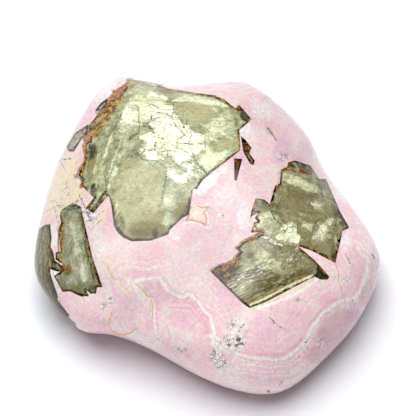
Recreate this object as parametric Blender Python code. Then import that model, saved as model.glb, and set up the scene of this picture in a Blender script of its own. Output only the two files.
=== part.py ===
"""Cobaltoan calcite: a polished freeform of banded pink calcite with green crystals grown into it.

The stone is a flattened, sheared ellipsoid whose rim follows the outline below. Its polished face
is described in face axes: u runs to the right, v up the face and w straight out of it. Every
crystal sits in a pocket of its own and was ground flush with the pink calcite around it.

World frame: metres, +Z up, origin at the middle of the underside of the stone's box.
"""

import math

import bmesh
import bpy
import numpy as np

MM = 0.001

# The stone. Lengths are in millimetres until a mesh is made.
FACE_ELEVATION = math.radians(55)  # the face looks forward (-Y) and up at this angle
HALF_LENGTH = 53.0  # front to back
HALF_HEIGHT = 26.0  # before the underside is ground flat
FLAT_DEPTH = 12.0  # the ground underside lies this far below the middle
FLAT_EDGE = 3.0  # the flat runs out into the round over this height
CORE_RADIUS = 45.5  # the face is round near its middle and takes the rim's shape further out
BODY_DETAIL = 5  # subdivisions of the sphere that the stone is shaped from

# The rim of the face, in (u, v), clockwise.
RIM = [
    (-27.5, 45.6), (-23.5, 46.5), (-17.5, 45.1), (-7.8, 43.9), (3.0, 44.8), (10.4, 44.9),
    (17.5, 41.2), (28.4, 30.4), (34.5, 18.5), (42.5, 8.0), (48.5, -1.5), (50.1, -8.0),
    (48.5, -15.0), (42.5, -26.0), (33.0, -36.3), (24.1, -43.5), (16.5, -45.5), (7.0, -44.0),
    (-3.0, -40.0), (-16.5, -32.6), (-26.5, -28.8), (-35.0, -27.7), (-39.7, -24.6),
    (-45.0, -19.0), (-49.2, -12.1), (-49.8, -4.1), (-46.8, 11.0), (-41.5, 25.7), (-33.5, 39.7),
]

# Low swells and hollows of the polished face: (u, v, height, radius).
SWELLS = [(-14.0, -20.0, -2.6, 12.0), (-16.0, 24.0, 1.6, 16.0), (26.0, 6.0, 1.2, 14.0)]

# The crystals' outlines on the face, in (u, v).
LARGE_CRYSTAL = [
    (-23.0, 45.5), (-16.7, 44.9), (-11.2, 42.7), (2.3, 40.7), (5.1, 39.4), (8.2, 36.8),
    (9.3, 37.9), (12.8, 33.8), (9.2, 30.7), (9.5, 25.5), (9.2, 24.6), (1.0, 18.3),
    (-1.6, 15.9), (-3.0, 13.7), (-4.1, 13.9), (-5.3, 6.3), (-7.1, 5.4), (-10.8, 1.9),
    (-11.2, 0.7), (-16.3, -1.1), (-21.5, -1.3), (-23.8, -0.4), (-25.6, 1.1), (-26.7, 3.3),
    (-27.4, 8.9), (-28.0, 11.3), (-28.6, 11.8), (-32.8, 6.8), (-34.8, 8.1), (-32.4, 11.1),
    (-36.1, 14.6), (-35.8, 16.6), (-36.9, 17.4), (-36.5, 19.2), (-35.2, 21.4), (-34.8, 23.7),
    (-35.4, 25.9), (-34.7, 27.0), (-33.7, 27.4), (-34.1, 32.1), (-31.5, 35.3), (-28.9, 36.2),
    (-27.9, 39.2), (-25.4, 39.9), (-23.4, 43.2),
]
TWIN_CRYSTAL = [
    (21.4, 19.1), (23.2, 19.9), (23.6, 21.2), (25.3, 21.7), (29.8, 20.3), (32.3, 16.4),
    (34.4, 16.4), (38.3, 7.1), (40.9, 2.5), (39.0, 1.6), (36.8, -7.5), (30.1, -4.0),
    (25.7, -2.6), (31.2, -7.3), (35.0, -11.7), (34.6, -12.3), (32.7, -12.3), (30.9, -11.4),
    (16.5, -18.8), (12.2, -20.4), (10.2, -19.0), (1.5, -10.4), (1.3, -9.7), (3.5, -8.6),
    (7.9, -7.7), (8.5, -5.8), (9.8, -4.7), (8.9, -3.4), (10.6, -1.7), (16.1, 0.6),
    (15.4, 1.4), (12.8, 1.2), (13.5, 3.8), (14.8, 4.2), (13.9, 5.3), (15.0, 7.1),
    (12.6, 5.8), (13.1, 7.9), (14.1, 10.8), (16.5, 10.4), (18.1, 9.0), (19.8, 14.5),
    (21.1, 15.1),
]
LEFT_BLADE = [
    (-41.6, 7.7), (-40.1, 8.7), (-37.9, 9.2), (-36.5, 8.3), (-33.1, -5.9), (-30.2, -14.5),
    (-31.7, -14.5), (-32.0, -16.3), (-33.5, -16.3), (-35.0, -15.2), (-34.2, -17.0),
    (-36.1, -17.2), (-39.4, -15.7), (-41.6, -15.9), (-43.9, -11.5), (-41.3, -9.7),
    (-41.6, -7.8), (-43.5, -6.7), (-43.5, -4.8), (-42.0, -4.5), (-42.8, 1.8), (-42.0, 3.7),
    (-42.4, 5.9),
]
# This one runs out over the rim and ends on the stone's side.
LEFT_EDGE = [
    (-54.0, 3.2), (-48.5, 2.0), (-46.8, 3.1), (-45.5, 3.3), (-45.0, -0.4), (-45.3, -3.0),
    (-44.4, -4.8), (-44.0, -7.1), (-41.4, -8.9), (-41.3, -10.0), (-43.1, -10.0),
    (-45.3, -9.3), (-45.3, -10.8), (-43.1, -17.4), (-43.3, -18.4), (-39.8, -22.8),
    (-44.0, -27.0), (-54.0, -27.0),
]
RIM_CRYSTAL_LOWER = [
    (-40.7, 25.9), (-38.2, 29.9), (-34.5, 32.3), (-34.9, 29.5), (-35.8, 29.3), (-38.7, 24.6),
    (-40.0, 24.7),
]
RIM_CRYSTAL_UPPER = [(-32.3, 36.6), (-30.9, 38.5), (-29.1, 39.9), (-29.3, 37.6), (-31.2, 36.4)]
DARK_SLIVER = [
    (9.9, 28.7), (10.9, 27.8), (12.7, 25.5), (12.0, 24.0), (13.6, 21.8), (13.3, 20.7),
    (12.5, 21.0), (10.6, 24.5),
]
BROWN_WEDGE = [(8.0, 22.3), (10.0, 22.1), (8.4, 16.1), (8.0, 16.3)]

FIT_GAP = 0.3  # between a crystal and its pocket
STRAIGHT_WALL = 1.0  # a crystal's wall runs straight down this far before it narrows
ABOVE_FACE = 40.0  # the cutting prisms reach this far above the face's middle


def clockwise(outline):
    points = np.array(outline)
    u, v = points.T
    turns_left = np.sum(u * np.roll(v, -1) - v * np.roll(u, -1)) > 0
    return points[::-1] if turns_left else points


def closed_curve(points, steps=24):
    """A Catmull-Rom curve through the points, as an array of (u, v)."""
    points = np.array(points)
    before, after, beyond = (np.roll(points, shift, axis=0) for shift in (1, -1, -2))
    t = np.linspace(0.0, 1.0, steps, endpoint=False)[None, :, None]
    a, b, c, d = (p[:, None, :] for p in (before, points, after, beyond))
    curve = 2 * b + (c - a) * t + (2 * a - 5 * b + 4 * c - d) * t**2 + (3 * b - a - 3 * c + d) * t**3
    return (curve / 2).reshape(-1, 2)


def rim_radius(angle):
    """The rim's distance from the middle of the face at these angles."""
    curve = closed_curve(RIM)
    angles = np.arctan2(curve[:, 1], curve[:, 0])
    return np.interp(angle, *sorted_by_angle(angles, np.hypot(*curve.T)), period=2 * math.pi)


def sorted_by_angle(angles, radii):
    order = np.argsort(angles)
    return angles[order], radii[order]


def face_section():
    """How far the stone's middle leans out of the face for each step up it, and its half depth."""
    sine, cosine = math.sin(FACE_ELEVATION), math.cos(FACE_ELEVATION)
    half_face = math.hypot(HALF_LENGTH * sine, HALF_HEIGHT * cosine)
    lean = (HALF_HEIGHT**2 - HALF_LENGTH**2) * sine * cosine / half_face**2
    return lean, HALF_LENGTH * HALF_HEIGHT / half_face


def swell(u, v):
    """The height of the low swells at a place on the face."""
    return sum(
        height * np.exp(-((u - a) ** 2 + (v - b) ** 2) / (2 * size**2)) for a, b, height, size in SWELLS
    )


def stone_points(directions):
    """The stone's surface, in (u, v, w), in each direction from the middle of a unit sphere."""
    x, y, z = directions.T
    reach = np.hypot(x, y)
    angle = np.arctan2(y, x)
    radius = reach * (rim_radius(angle) * reach**2 + CORE_RADIUS * (1 - reach**2))
    u, v = radius * np.cos(angle), radius * np.sin(angle)
    lean, half_depth = face_section()
    front = np.clip(z, 0.0, 1.0)
    return np.stack([u, v, lean * v + half_depth * z + swell(u, v) * front], axis=1)


def face_height(u, v):
    """The w of the polished face over (u, v). Past the rim it is the rim's own w."""
    angle = np.arctan2(v, u)
    share = np.hypot(u, v)
    rim = rim_radius(angle)
    low, high = np.zeros_like(share), np.ones_like(share)
    for _ in range(40):
        reach = (low + high) / 2
        short = reach * (rim * reach**2 + CORE_RADIUS * (1 - reach**2)) < share
        low, high = np.where(short, reach, low), np.where(short, high, reach)
    rise = np.sqrt(np.clip(1 - low**2, 0.0, 1.0))
    lean, half_depth = face_section()
    return lean * v + half_depth * rise + swell(u, v) * rise


def to_world(points):
    """(u, v, w) to x, y, z, in millimetres, before the stone is set on the ground."""
    u, v, w = points.T
    sine, cosine = math.sin(FACE_ELEVATION), math.cos(FACE_ELEVATION)
    return np.stack([u, v * sine - w * cosine, v * cosine + w * sine], axis=1)


def ground_flat(points):
    """Grinds the underside to a flat whose edge runs softly into the round."""
    x, y, z = points.T
    over = z + FLAT_DEPTH
    soft = (over + FLAT_EDGE) ** 2 / (4 * FLAT_EDGE)
    ground = np.where(over < -FLAT_EDGE, 0.0, np.where(over < FLAT_EDGE, soft, over))
    return np.stack([x, y, ground - FLAT_DEPTH], axis=1)


def sphere_directions(detail):
    """A unit sphere's mesh and its vertices as an array."""
    shape = bmesh.new()
    bmesh.ops.create_icosphere(shape, subdivisions=detail, radius=1.0)
    return shape, np.array([vertex.co for vertex in shape.verts])


def move_verts(shape, points):
    for vertex, point in zip(shape.verts, points * MM):
        vertex.co = point


def ground_offset():
    """The move that stands the stone's box on the origin, in millimetres."""
    shape, directions = sphere_directions(BODY_DETAIL)
    shape.free()
    points = ground_flat(to_world(stone_points(directions)))
    middle = (points.min(axis=0) + points.max(axis=0)) / 2
    return np.array([-middle[0], -middle[1], FLAT_DEPTH])


OFFSET = ground_offset()


def mesh_object(name, shape, collection, material=None):
    mesh = bpy.data.meshes.new(name)
    bmesh.ops.recalc_face_normals(shape, faces=shape.faces)
    shape.to_mesh(mesh)
    shape.free()
    made = bpy.data.objects.new(name, mesh)
    collection.objects.link(made)
    if material:
        mesh.materials.append(material)
    return made


def stone_body(name, collection, material):
    shape, directions = sphere_directions(BODY_DETAIL)
    move_verts(shape, ground_flat(to_world(stone_points(directions))) + OFFSET)
    return mesh_object(name, shape, collection, material)


def widened(points, distance):
    """A clockwise outline moved outwards by a distance, its corners by at most twice that."""
    ahead = np.roll(points, -1, axis=0) - points
    ahead /= np.linalg.norm(ahead, axis=1)[:, None]
    normal = np.stack([-ahead[:, 1], ahead[:, 0]], axis=1)
    corner = normal + np.roll(normal, 1, axis=0)
    length = np.linalg.norm(corner, axis=1)[:, None]
    corner /= length
    return points + corner * distance * np.minimum(2 / length, 2.0)


def floor_heights(outline, floor):
    """The plane that lies closest to the face along an outline, read at the floor's corners."""
    flat = np.column_stack([outline, np.ones(len(outline))])
    plane = np.linalg.lstsq(flat, face_height(*outline.T), rcond=None)[0]
    return np.column_stack([floor, np.ones(len(floor))]) @ plane


def prism(name, crystal, widen, collection):
    """A closed prism out of the face: straight down to just below it, then narrowing to a flat floor."""
    outline = clockwise(crystal["outline"])
    middle = outline.mean(axis=0)
    wall = widened(outline, widen)
    floor = widened(middle + (outline - middle) * (1 - crystal["narrowing"]), widen)
    if crystal.get("wraps_rim"):
        floor_w = face_section()[0] * floor[:, 1]
    else:
        floor_w = floor_heights(outline, floor)
    rings = [
        np.column_stack([wall, np.full(len(wall), ABOVE_FACE)]),
        np.column_stack([wall, face_height(*wall.T) - STRAIGHT_WALL - widen]),
        np.column_stack([floor, floor_w - crystal["depth"] - widen]),
    ]
    rings = [(to_world(ring) + OFFSET) * MM for ring in rings]
    shape = bmesh.new()
    top = shape.faces.new([shape.verts.new(point) for point in rings[0]])
    cap = top
    for ring in rings[1:]:
        grown = bmesh.ops.extrude_face_region(shape, geom=[cap])["geom"]
        if cap is not top:
            shape.faces.remove(cap)
        cap = next(part for part in grown if isinstance(part, bmesh.types.BMFace))
        for vertex, point in zip(cap.verts, ring):
            vertex.co = point
    sides = [face for face in shape.faces if len(face.verts) == 4]
    bmesh.ops.triangulate(shape, faces=sides, quad_method="FIXED")
    return mesh_object(name, shape, collection)


def cut(target, other, operation):
    boolean = target.modifiers.new(f"{operation} {other.name}", "BOOLEAN")
    boolean.operation = operation
    boolean.solver = "EXACT"
    boolean.object = other


def stone_material(name, colour, roughness, clearness):
    material = bpy.data.materials.new(name)
    material.use_nodes = True
    shader = material.node_tree.nodes["Principled BSDF"]
    shader.inputs["Base Color"].default_value = (*colour, 1.0)
    shader.inputs["Roughness"].default_value = roughness
    shader.inputs["Metallic"].default_value = 0.0
    shader.inputs["IOR"].default_value = CALCITE_IOR
    shader.inputs["Transmission Weight"].default_value = clearness
    return material


CALCITE_IOR = 1.6
PINK = (0.80, 0.58, 0.60)
GREEN = (0.42, 0.46, 0.30)
GREY_GREEN = (0.24, 0.28, 0.19)
DARK_BROWN = (0.10, 0.06, 0.03)

# Each crystal's floor lies its depth below the face, or below the rim for one that wraps it.
CRYSTALS = {
    "large_green_crystal": dict(outline=LARGE_CRYSTAL, depth=13.0, narrowing=0.16, colour=GREEN),
    "twin_green_crystal": dict(outline=TWIN_CRYSTAL, depth=9.0, narrowing=0.12, colour=GREEN),
    "left_edge_crystal": dict(
        outline=LEFT_EDGE, depth=7.0, narrowing=0.0, colour=GREY_GREEN, wraps_rim=True
    ),
    "left_blade_crystal": dict(
        outline=LEFT_BLADE, depth=7.0, narrowing=0.12, colour=GREY_GREEN, stops_at="left_edge_crystal"
    ),
    "lower_rim_crystal": dict(outline=RIM_CRYSTAL_LOWER, depth=5.0, narrowing=0.1, colour=GREY_GREEN),
    "upper_rim_crystal": dict(outline=RIM_CRYSTAL_UPPER, depth=4.0, narrowing=0.1, colour=GREY_GREEN),
    "dark_sliver_crystal": dict(outline=DARK_SLIVER, depth=5.0, narrowing=0.1, colour=DARK_BROWN),
    "brown_wedge_crystal": dict(outline=BROWN_WEDGE, depth=4.0, narrowing=0.1, colour=DARK_BROWN),
}


def build():
    for old in list(bpy.data.objects):
        bpy.data.objects.remove(old)
    parts = bpy.data.collections.new("cobaltoan_calcite")
    cutters = bpy.data.collections.new("cutters")
    for collection in (parts, cutters):
        bpy.context.scene.collection.children.link(collection)

    matrix = stone_body("pink_calcite", parts, stone_material("pink calcite", PINK, 0.12, 0.0))
    for name, crystal in CRYSTALS.items():
        grown = stone_body(name, parts, stone_material(name, crystal["colour"], 0.08, 0.5))
        cut(grown, prism(f"{name} shape", crystal, 0.0, cutters), "INTERSECT")
        if "stops_at" in crystal:
            cut(grown, cutters.objects[f"{crystal['stops_at']} pocket"], "DIFFERENCE")
        cut(matrix, prism(f"{name} pocket", crystal, FIT_GAP, cutters), "DIFFERENCE")

    for cutter in cutters.objects:
        cutter.hide_render = True
        cutter.display_type = "WIRE"
    for part in parts.objects:
        part.data.shade_smooth()
        part.data.set_sharp_from_angle(angle=math.radians(30))


build()
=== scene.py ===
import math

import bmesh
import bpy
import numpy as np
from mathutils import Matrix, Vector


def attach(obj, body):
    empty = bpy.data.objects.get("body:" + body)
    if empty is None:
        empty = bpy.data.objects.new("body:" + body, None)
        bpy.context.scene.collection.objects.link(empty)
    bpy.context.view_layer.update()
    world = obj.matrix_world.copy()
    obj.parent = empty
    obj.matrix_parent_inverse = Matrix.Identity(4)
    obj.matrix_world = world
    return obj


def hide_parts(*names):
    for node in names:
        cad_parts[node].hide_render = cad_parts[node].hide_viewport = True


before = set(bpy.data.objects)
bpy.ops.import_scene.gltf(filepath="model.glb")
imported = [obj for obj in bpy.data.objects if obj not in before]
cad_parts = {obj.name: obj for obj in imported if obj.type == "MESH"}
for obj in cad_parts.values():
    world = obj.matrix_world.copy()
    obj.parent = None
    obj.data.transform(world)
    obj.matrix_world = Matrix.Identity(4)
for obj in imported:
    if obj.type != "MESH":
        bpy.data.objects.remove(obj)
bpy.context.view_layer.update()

# The looks of a polished freeform of banded pink calcite with green crystals grown into it.
#
# The stone's face is described in face axes, in millimetres: u to the right, v up the face and w
# straight out of it. The shape is the solid's own formula on a finer mesh. Its colours are
# procedural, with marks that were placed in the pixels of a 416 x 416 picture.

MM = 0.001  # metres in a millimetre

# The stone, as in the solid, in millimetres.
FACE_ELEVATION = math.radians(55)  # the face looks forward (-Y) and up at this angle
HALF_LENGTH = 53.0  # front to back
HALF_HEIGHT = 26.0  # before the underside is ground flat
FLAT_DEPTH = 12.0  # the ground underside lies this far below the middle
FLAT_EDGE = 3.0  # the flat runs out into the round over this height
CORE_RADIUS = 45.5  # the face is round near its middle and takes the rim's shape further out

# The rim of the face, in (u, v), clockwise.
RIM = [
    (-27.5, 45.6), (-23.5, 46.5), (-17.5, 45.1), (-7.8, 43.9), (3.0, 44.8), (10.4, 44.9),
    (17.5, 41.2), (28.4, 30.4), (34.5, 18.5), (42.5, 8.0), (48.5, -1.5), (50.1, -8.0),
    (48.5, -15.0), (42.5, -26.0), (33.0, -36.3), (24.1, -43.5), (16.5, -45.5), (7.0, -44.0),
    (-3.0, -40.0), (-16.5, -32.6), (-26.5, -28.8), (-35.0, -27.7), (-39.7, -24.6),
    (-45.0, -19.0), (-49.2, -12.1), (-49.8, -4.1), (-46.8, 11.0), (-41.5, 25.7), (-33.5, 39.7),
]

# Low swells and hollows of the polished face: (u, v, height, radius).
SWELLS = [(-14.0, -20.0, -2.6, 12.0), (-16.0, 24.0, 1.6, 16.0), (26.0, 6.0, 1.2, 14.0)]

# The crystals' outlines on the face, in (u, v).
LARGE_CRYSTAL = [
    (-23.0, 45.5), (-16.7, 44.9), (-11.2, 42.7), (2.3, 40.7), (5.1, 39.4), (8.2, 36.8),
    (9.3, 37.9), (12.8, 33.8), (9.2, 30.7), (9.5, 25.5), (9.2, 24.6), (1.0, 18.3),
    (-1.6, 15.9), (-3.0, 13.7), (-4.1, 13.9), (-5.3, 6.3), (-7.1, 5.4), (-10.8, 1.9),
    (-11.2, 0.7), (-16.3, -1.1), (-21.5, -1.3), (-23.8, -0.4), (-25.6, 1.1), (-26.7, 3.3),
    (-27.4, 8.9), (-28.0, 11.3), (-28.6, 11.8), (-32.8, 6.8), (-34.8, 8.1), (-32.4, 11.1),
    (-36.1, 14.6), (-35.8, 16.6), (-36.9, 17.4), (-36.5, 19.2), (-35.2, 21.4), (-34.8, 23.7),
    (-35.4, 25.9), (-34.7, 27.0), (-33.7, 27.4), (-34.1, 32.1), (-31.5, 35.3), (-28.9, 36.2),
    (-27.9, 39.2), (-25.4, 39.9), (-23.4, 43.2),
]
TWIN_CRYSTAL = [
    (21.4, 19.1), (23.2, 19.9), (23.6, 21.2), (25.3, 21.7), (29.8, 20.3), (32.3, 16.4),
    (34.4, 16.4), (38.3, 7.1), (40.9, 2.5), (39.0, 1.6), (36.8, -7.5), (30.1, -4.0),
    (25.7, -2.6), (31.2, -7.3), (35.0, -11.7), (34.6, -12.3), (32.7, -12.3), (30.9, -11.4),
    (16.5, -18.8), (12.2, -20.4), (10.2, -19.0), (1.5, -10.4), (1.3, -9.7), (3.5, -8.6),
    (7.9, -7.7), (8.5, -5.8), (9.8, -4.7), (8.9, -3.4), (10.6, -1.7), (16.1, 0.6),
    (15.4, 1.4), (12.8, 1.2), (13.5, 3.8), (14.8, 4.2), (13.9, 5.3), (15.0, 7.1),
    (12.6, 5.8), (13.1, 7.9), (14.1, 10.8), (16.5, 10.4), (18.1, 9.0), (19.8, 14.5),
    (21.1, 15.1),
]
LEFT_BLADE = [
    (-41.6, 7.7), (-40.1, 8.7), (-37.9, 9.2), (-36.5, 8.3), (-33.1, -5.9), (-30.2, -14.5),
    (-31.7, -14.5), (-32.0, -16.3), (-33.5, -16.3), (-35.0, -15.2), (-34.2, -17.0),
    (-36.1, -17.2), (-39.4, -15.7), (-41.6, -15.9), (-43.9, -11.5), (-41.3, -9.7),
    (-41.6, -7.8), (-43.5, -6.7), (-43.5, -4.8), (-42.0, -4.5), (-42.8, 1.8), (-42.0, 3.7),
    (-42.4, 5.9),
]
LEFT_EDGE = [
    (-54.0, 3.2), (-48.5, 2.0), (-46.8, 3.1), (-45.5, 3.3), (-45.0, -0.4), (-45.3, -3.0),
    (-44.4, -4.8), (-44.0, -7.1), (-41.4, -8.9), (-41.3, -10.0), (-43.1, -10.0),
    (-45.3, -9.3), (-45.3, -10.8), (-43.1, -17.4), (-43.3, -18.4), (-39.8, -22.8),
    (-44.0, -27.0), (-54.0, -27.0),
]
RIM_CRYSTAL_LOWER = [
    (-40.7, 25.9), (-38.2, 29.9), (-34.5, 32.3), (-34.9, 29.5), (-35.8, 29.3), (-38.7, 24.6),
    (-40.0, 24.7),
]
RIM_CRYSTAL_UPPER = [(-32.3, 36.6), (-30.9, 38.5), (-29.1, 39.9), (-29.3, 37.6), (-31.2, 36.4)]
DARK_SLIVER = [
    (9.9, 28.7), (10.9, 27.8), (12.7, 25.5), (12.0, 24.0), (13.6, 21.8), (13.3, 20.7),
    (12.5, 21.0), (10.6, 24.5),
]
BROWN_WEDGE = [(8.0, 22.3), (10.0, 22.1), (8.4, 16.1), (8.0, 16.3)]

# Each crystal's depth, and how much narrower than its outline its floor is.
CRYSTALS = {
    "large_green_crystal": dict(outline=LARGE_CRYSTAL, depth=13.0, narrowing=0.16),
    "twin_green_crystal": dict(outline=TWIN_CRYSTAL, depth=9.0, narrowing=0.12),
    "left_edge_crystal": dict(outline=LEFT_EDGE, depth=7.0, narrowing=0.0, wraps_rim=True),
    "left_blade_crystal": dict(
        outline=LEFT_BLADE, depth=7.0, narrowing=0.12, stops_at="left_edge_crystal"
    ),
    "lower_rim_crystal": dict(outline=RIM_CRYSTAL_LOWER, depth=5.0, narrowing=0.1),
    "upper_rim_crystal": dict(outline=RIM_CRYSTAL_UPPER, depth=4.0, narrowing=0.1),
    "dark_sliver_crystal": dict(outline=DARK_SLIVER, depth=5.0, narrowing=0.1),
    "brown_wedge_crystal": dict(outline=BROWN_WEDGE, depth=4.0, narrowing=0.1),
}

STRAIGHT_WALL = 1.0  # how far below the face a pocket's wall runs straight down
ABOVE_FACE = 40.0  # the w of the top of the shapes that cut pockets and crystals
LONGEST_CORNER = 2.0  # a widened outline's corner moves at most this many times the distance
SHARP_EDGE = math.radians(30)  # edges sharper than this aren't shaded smooth
BEDDING = 0.15  # a crystal reaches this far into its pocket's wall, so no air is left between them
PROUD = 0.03  # and its polished face stands this far over the calcite's
SOLID_DETAIL = 5  # subdivisions of the solid's sphere, whose box places the stone
FINE_DETAIL = 7  # and of the sphere that the stone is made from here
FACE_ZOOM = 1.7  # the sphere's mesh is this much denser in the middle of the face
FRONT_FROM = 0.03  # how far above the sphere's rim the finest mesh begins
CURVE_STEPS = 24  # points on the rim's curve from each given one to the next
HALVINGS = 40  # steps of the search for the face's height

# The picture: the face's middle and its scale, in pixels of a 416 x 416 frame.
PICTURE_SIDE = 416
FACE_MIDDLE_PX = (207.0, 236.0)
PX_PER_MM = 3.45

# The camera's distance and how far it sees, in metres, and its sensor in millimetres.
CAMERA_DISTANCE = 3.0
CAMERA_REACH = 100.0
SENSOR = 36.0

# The studio, in metres and watts: a big round softbox overhead, a little behind and left, a long
# low strip light in front, and a white room that is brighter near the horizon than overhead.
SOFTBOX_PLACE = (-0.11, 0.18, 0.75)
SOFTBOX_SIZE = 1.1
SOFTBOX_POWER = 12.0
STRIP_PLACE = (0.0, -1.0, 0.12)
STRIP_WIDTH = 2.4
STRIP_HEIGHT = 0.2
STRIP_POWER = 2.8
SKY_BAND = 0.35
SKY_LOW = 1.7
SKY_HIGH = 0.22
FLOOR_REACH = 1.5
FLOOR_ROUGHNESS = 0.6
PAPER_LOW = (0.87, 0.89, 0.93, 1.0)
PAPER_HIGH = (0.89, 0.91, 0.95, 1.0)

# What the studio light makes of a surface colour on the face: a share of it, and a glow of gloss.
FACE_LIGHT = 0.86
GLOSS_GLOW = 0.04
DARKEST = 0.002
LIGHTEST = 0.95

# The calcite's gloss and relief, and the light that runs on under its surface.
CALCITE_IOR = 1.55
CALCITE_GLOSS = 0.3
CALCITE_ROUGHNESS = (0.12, 0.28)
CALCITE_RELIEF = 0.02
GLOW_WEIGHT = 0.25
GLOW_COLOUR = (1.0, 0.6, 0.55)
GLOW_REACH = 0.9 * MM

# The crystals' gloss and relief, and what their depths make of the light.
CRYSTAL_IOR = 1.6
CRYSTAL_ROUGHNESS = (0.05, 0.16)
CRYSTAL_RELIEF = 0.012
CRYSTAL_TINT = (0.85, 0.86, 0.68, 1.0)
CRYSTAL_DENSITY = 25.0
LEAST_CLEAR = 0.1  # what share of its clearness a crystal keeps where it is cloudiest

FACET_DISORDER = 0.85
SEAM_CORE = 0.4  # what share of a seam's width has its full strength
FAINTEST_MARK = 0.12  # a mark fainter than this is broken up less by noise

# Painted shade: the pink is darkest round this place of the picture, where the studio light
# falls most strongly on the face, and untouched beyond, in pixels.
PAINTED_SHADE_MIDDLE = (166.0, 150.0)
PAINTED_SHADE_WITHIN = 130.0
UNSHADED_BEYOND = 190.0
PAINTED_SHADE_SHARE = 0.75  # what share of its brightness the pink keeps where it is deepest

# How far the marks' edges waver and in what sizes, in pixels, and the random values behind it.
CALCITE_WAVER = 0.8
CRYSTAL_WAVER = 0.6
COARSE_WAVER = 7.0
FINE_WAVER = 2.5
WAVER_SEEDS = (3, 5)
RANDOM_TABLE = 64

FADE = 1.5  # how steeply a spot or a line fades at its edge
LINE_FRINGE = 0.5  # pixels that a line's faint edge adds to its half width
MARK_MARGIN = 1  # pixels round a mark that its box takes in
RIM_FADE = 4  # how steeply all marks fade round the rim, towards the back
BAND_SHIFT = 60.0  # added to the places along each further growth band, so their fibres differ


# ---- the stone's shape ---------------------------------------------------------------------

def closed_curve(points):
    """A closed Catmull-Rom curve through the points, as an array of (u, v)."""
    points = np.array(points)
    before, after, beyond = (np.roll(points, shift, axis=0) for shift in (1, -1, -2))
    t = np.linspace(0.0, 1.0, CURVE_STEPS, endpoint=False)[None, :, None]
    a, b, c, d = (p[:, None, :] for p in (before, points, after, beyond))
    bend, twist = 2 * a - 5 * b + 4 * c - d, 3 * b - a - 3 * c + d
    curve = 2 * b + (c - a) * t + bend * t**2 + twist * t**3
    return (curve / 2).reshape(-1, 2)


def rim_radius(angle):
    """The rim's distance from the middle of the face at these angles."""
    curve = closed_curve(RIM)
    angles, radii = np.arctan2(curve[:, 1], curve[:, 0]), np.hypot(*curve.T)
    order = np.argsort(angles)
    return np.interp(angle, angles[order], radii[order], period=2 * math.pi)


def face_section():
    """How far the stone's middle leans out of the face for each step up it, and its half depth."""
    sine, cosine = math.sin(FACE_ELEVATION), math.cos(FACE_ELEVATION)
    half_face = math.hypot(HALF_LENGTH * sine, HALF_HEIGHT * cosine)
    lean = (HALF_HEIGHT**2 - HALF_LENGTH**2) * sine * cosine / half_face**2
    return lean, HALF_LENGTH * HALF_HEIGHT / half_face


def swell(u, v):
    """The height of the low swells at a place on the face."""
    return sum(
        height * np.exp(-((u - a) ** 2 + (v - b) ** 2) / (2 * size**2)) for a, b, height, size in SWELLS
    )


def stone_points(directions):
    """The stone's surface, in (u, v, w), in each direction from the middle of a unit sphere."""
    x, y, z = directions.T
    reach = np.hypot(x, y)
    angle = np.arctan2(y, x)
    radius = reach * (rim_radius(angle) * reach**2 + CORE_RADIUS * (1 - reach**2))
    u, v = radius * np.cos(angle), radius * np.sin(angle)
    lean, half_depth = face_section()
    front = np.clip(z, 0.0, 1.0)
    return np.stack([u, v, lean * v + half_depth * z + swell(u, v) * front], axis=1)


def face_height(u, v):
    """The w of the polished face over (u, v). Past the rim it is the rim's own w."""
    angle = np.arctan2(v, u)
    share = np.hypot(u, v)
    rim = rim_radius(angle)
    low, high = np.zeros_like(share), np.ones_like(share)
    for _ in range(HALVINGS):
        reach = (low + high) / 2
        short = reach * (rim * reach**2 + CORE_RADIUS * (1 - reach**2)) < share
        low, high = np.where(short, reach, low), np.where(short, high, reach)
    rise = np.sqrt(np.clip(1 - low**2, 0.0, 1.0))
    lean, half_depth = face_section()
    return lean * v + half_depth * rise + swell(u, v) * rise


FACE_AXES = np.array([
    (1.0, 0.0, 0.0),
    (0.0, math.sin(FACE_ELEVATION), math.cos(FACE_ELEVATION)),
    (0.0, -math.cos(FACE_ELEVATION), math.sin(FACE_ELEVATION)),
])


def ground_flat(points):
    """Grinds the underside to a flat whose edge runs softly into the round."""
    x, y, z = points.T
    over = z + FLAT_DEPTH
    soft = (over + FLAT_EDGE) ** 2 / (4 * FLAT_EDGE)
    ground = np.where(over < -FLAT_EDGE, 0.0, np.where(over < FLAT_EDGE, soft, over))
    return np.stack([x, y, ground - FLAT_DEPTH], axis=1)


def fine_sphere():
    """A unit sphere's vertices and triangles, fine and close together in front, where z is up."""
    shape = bmesh.new()
    bmesh.ops.create_icosphere(shape, subdivisions=FINE_DETAIL, radius=1.0)
    for vertex in shape.verts:
        x, y, z = vertex.co
        away = math.hypot(x, y)
        if away > 0:
            polar = math.acos(max(-1.0, min(1.0, z)))
            colatitude = 2 * math.atan2(math.tan(polar / 2), FACE_ZOOM)
            share = math.sin(colatitude) / away
            vertex.co = (x * share, y * share, math.cos(colatitude))
    front = [edge for edge in shape.edges if min(vertex.co.z for vertex in edge.verts) > FRONT_FROM]
    bmesh.ops.subdivide_edges(shape, edges=front, cuts=1, use_grid_fill=True)
    bmesh.ops.triangulate(shape, faces=shape.faces)
    directions = np.array([vertex.co for vertex in shape.verts])
    directions /= np.linalg.norm(directions, axis=1)[:, None]
    shape.verts.index_update()
    triangles = [[vertex.index for vertex in face.verts] for face in shape.faces]
    shape.free()
    return directions, triangles


def stone_offset():
    """The move that stands the stone's box on the origin, in millimetres."""
    shape = bmesh.new()
    bmesh.ops.create_icosphere(shape, subdivisions=SOLID_DETAIL, radius=1.0)
    directions = np.array([vertex.co for vertex in shape.verts])
    shape.free()
    points = ground_flat(stone_points(directions) @ FACE_AXES)
    middle = (points.min(axis=0) + points.max(axis=0)) / 2
    return np.array([-middle[0], -middle[1], FLAT_DEPTH])


OFFSET = stone_offset()


def placed(points):
    """Face axes in millimetres to the world in metres."""
    return (points @ FACE_AXES + OFFSET) * MM


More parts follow.
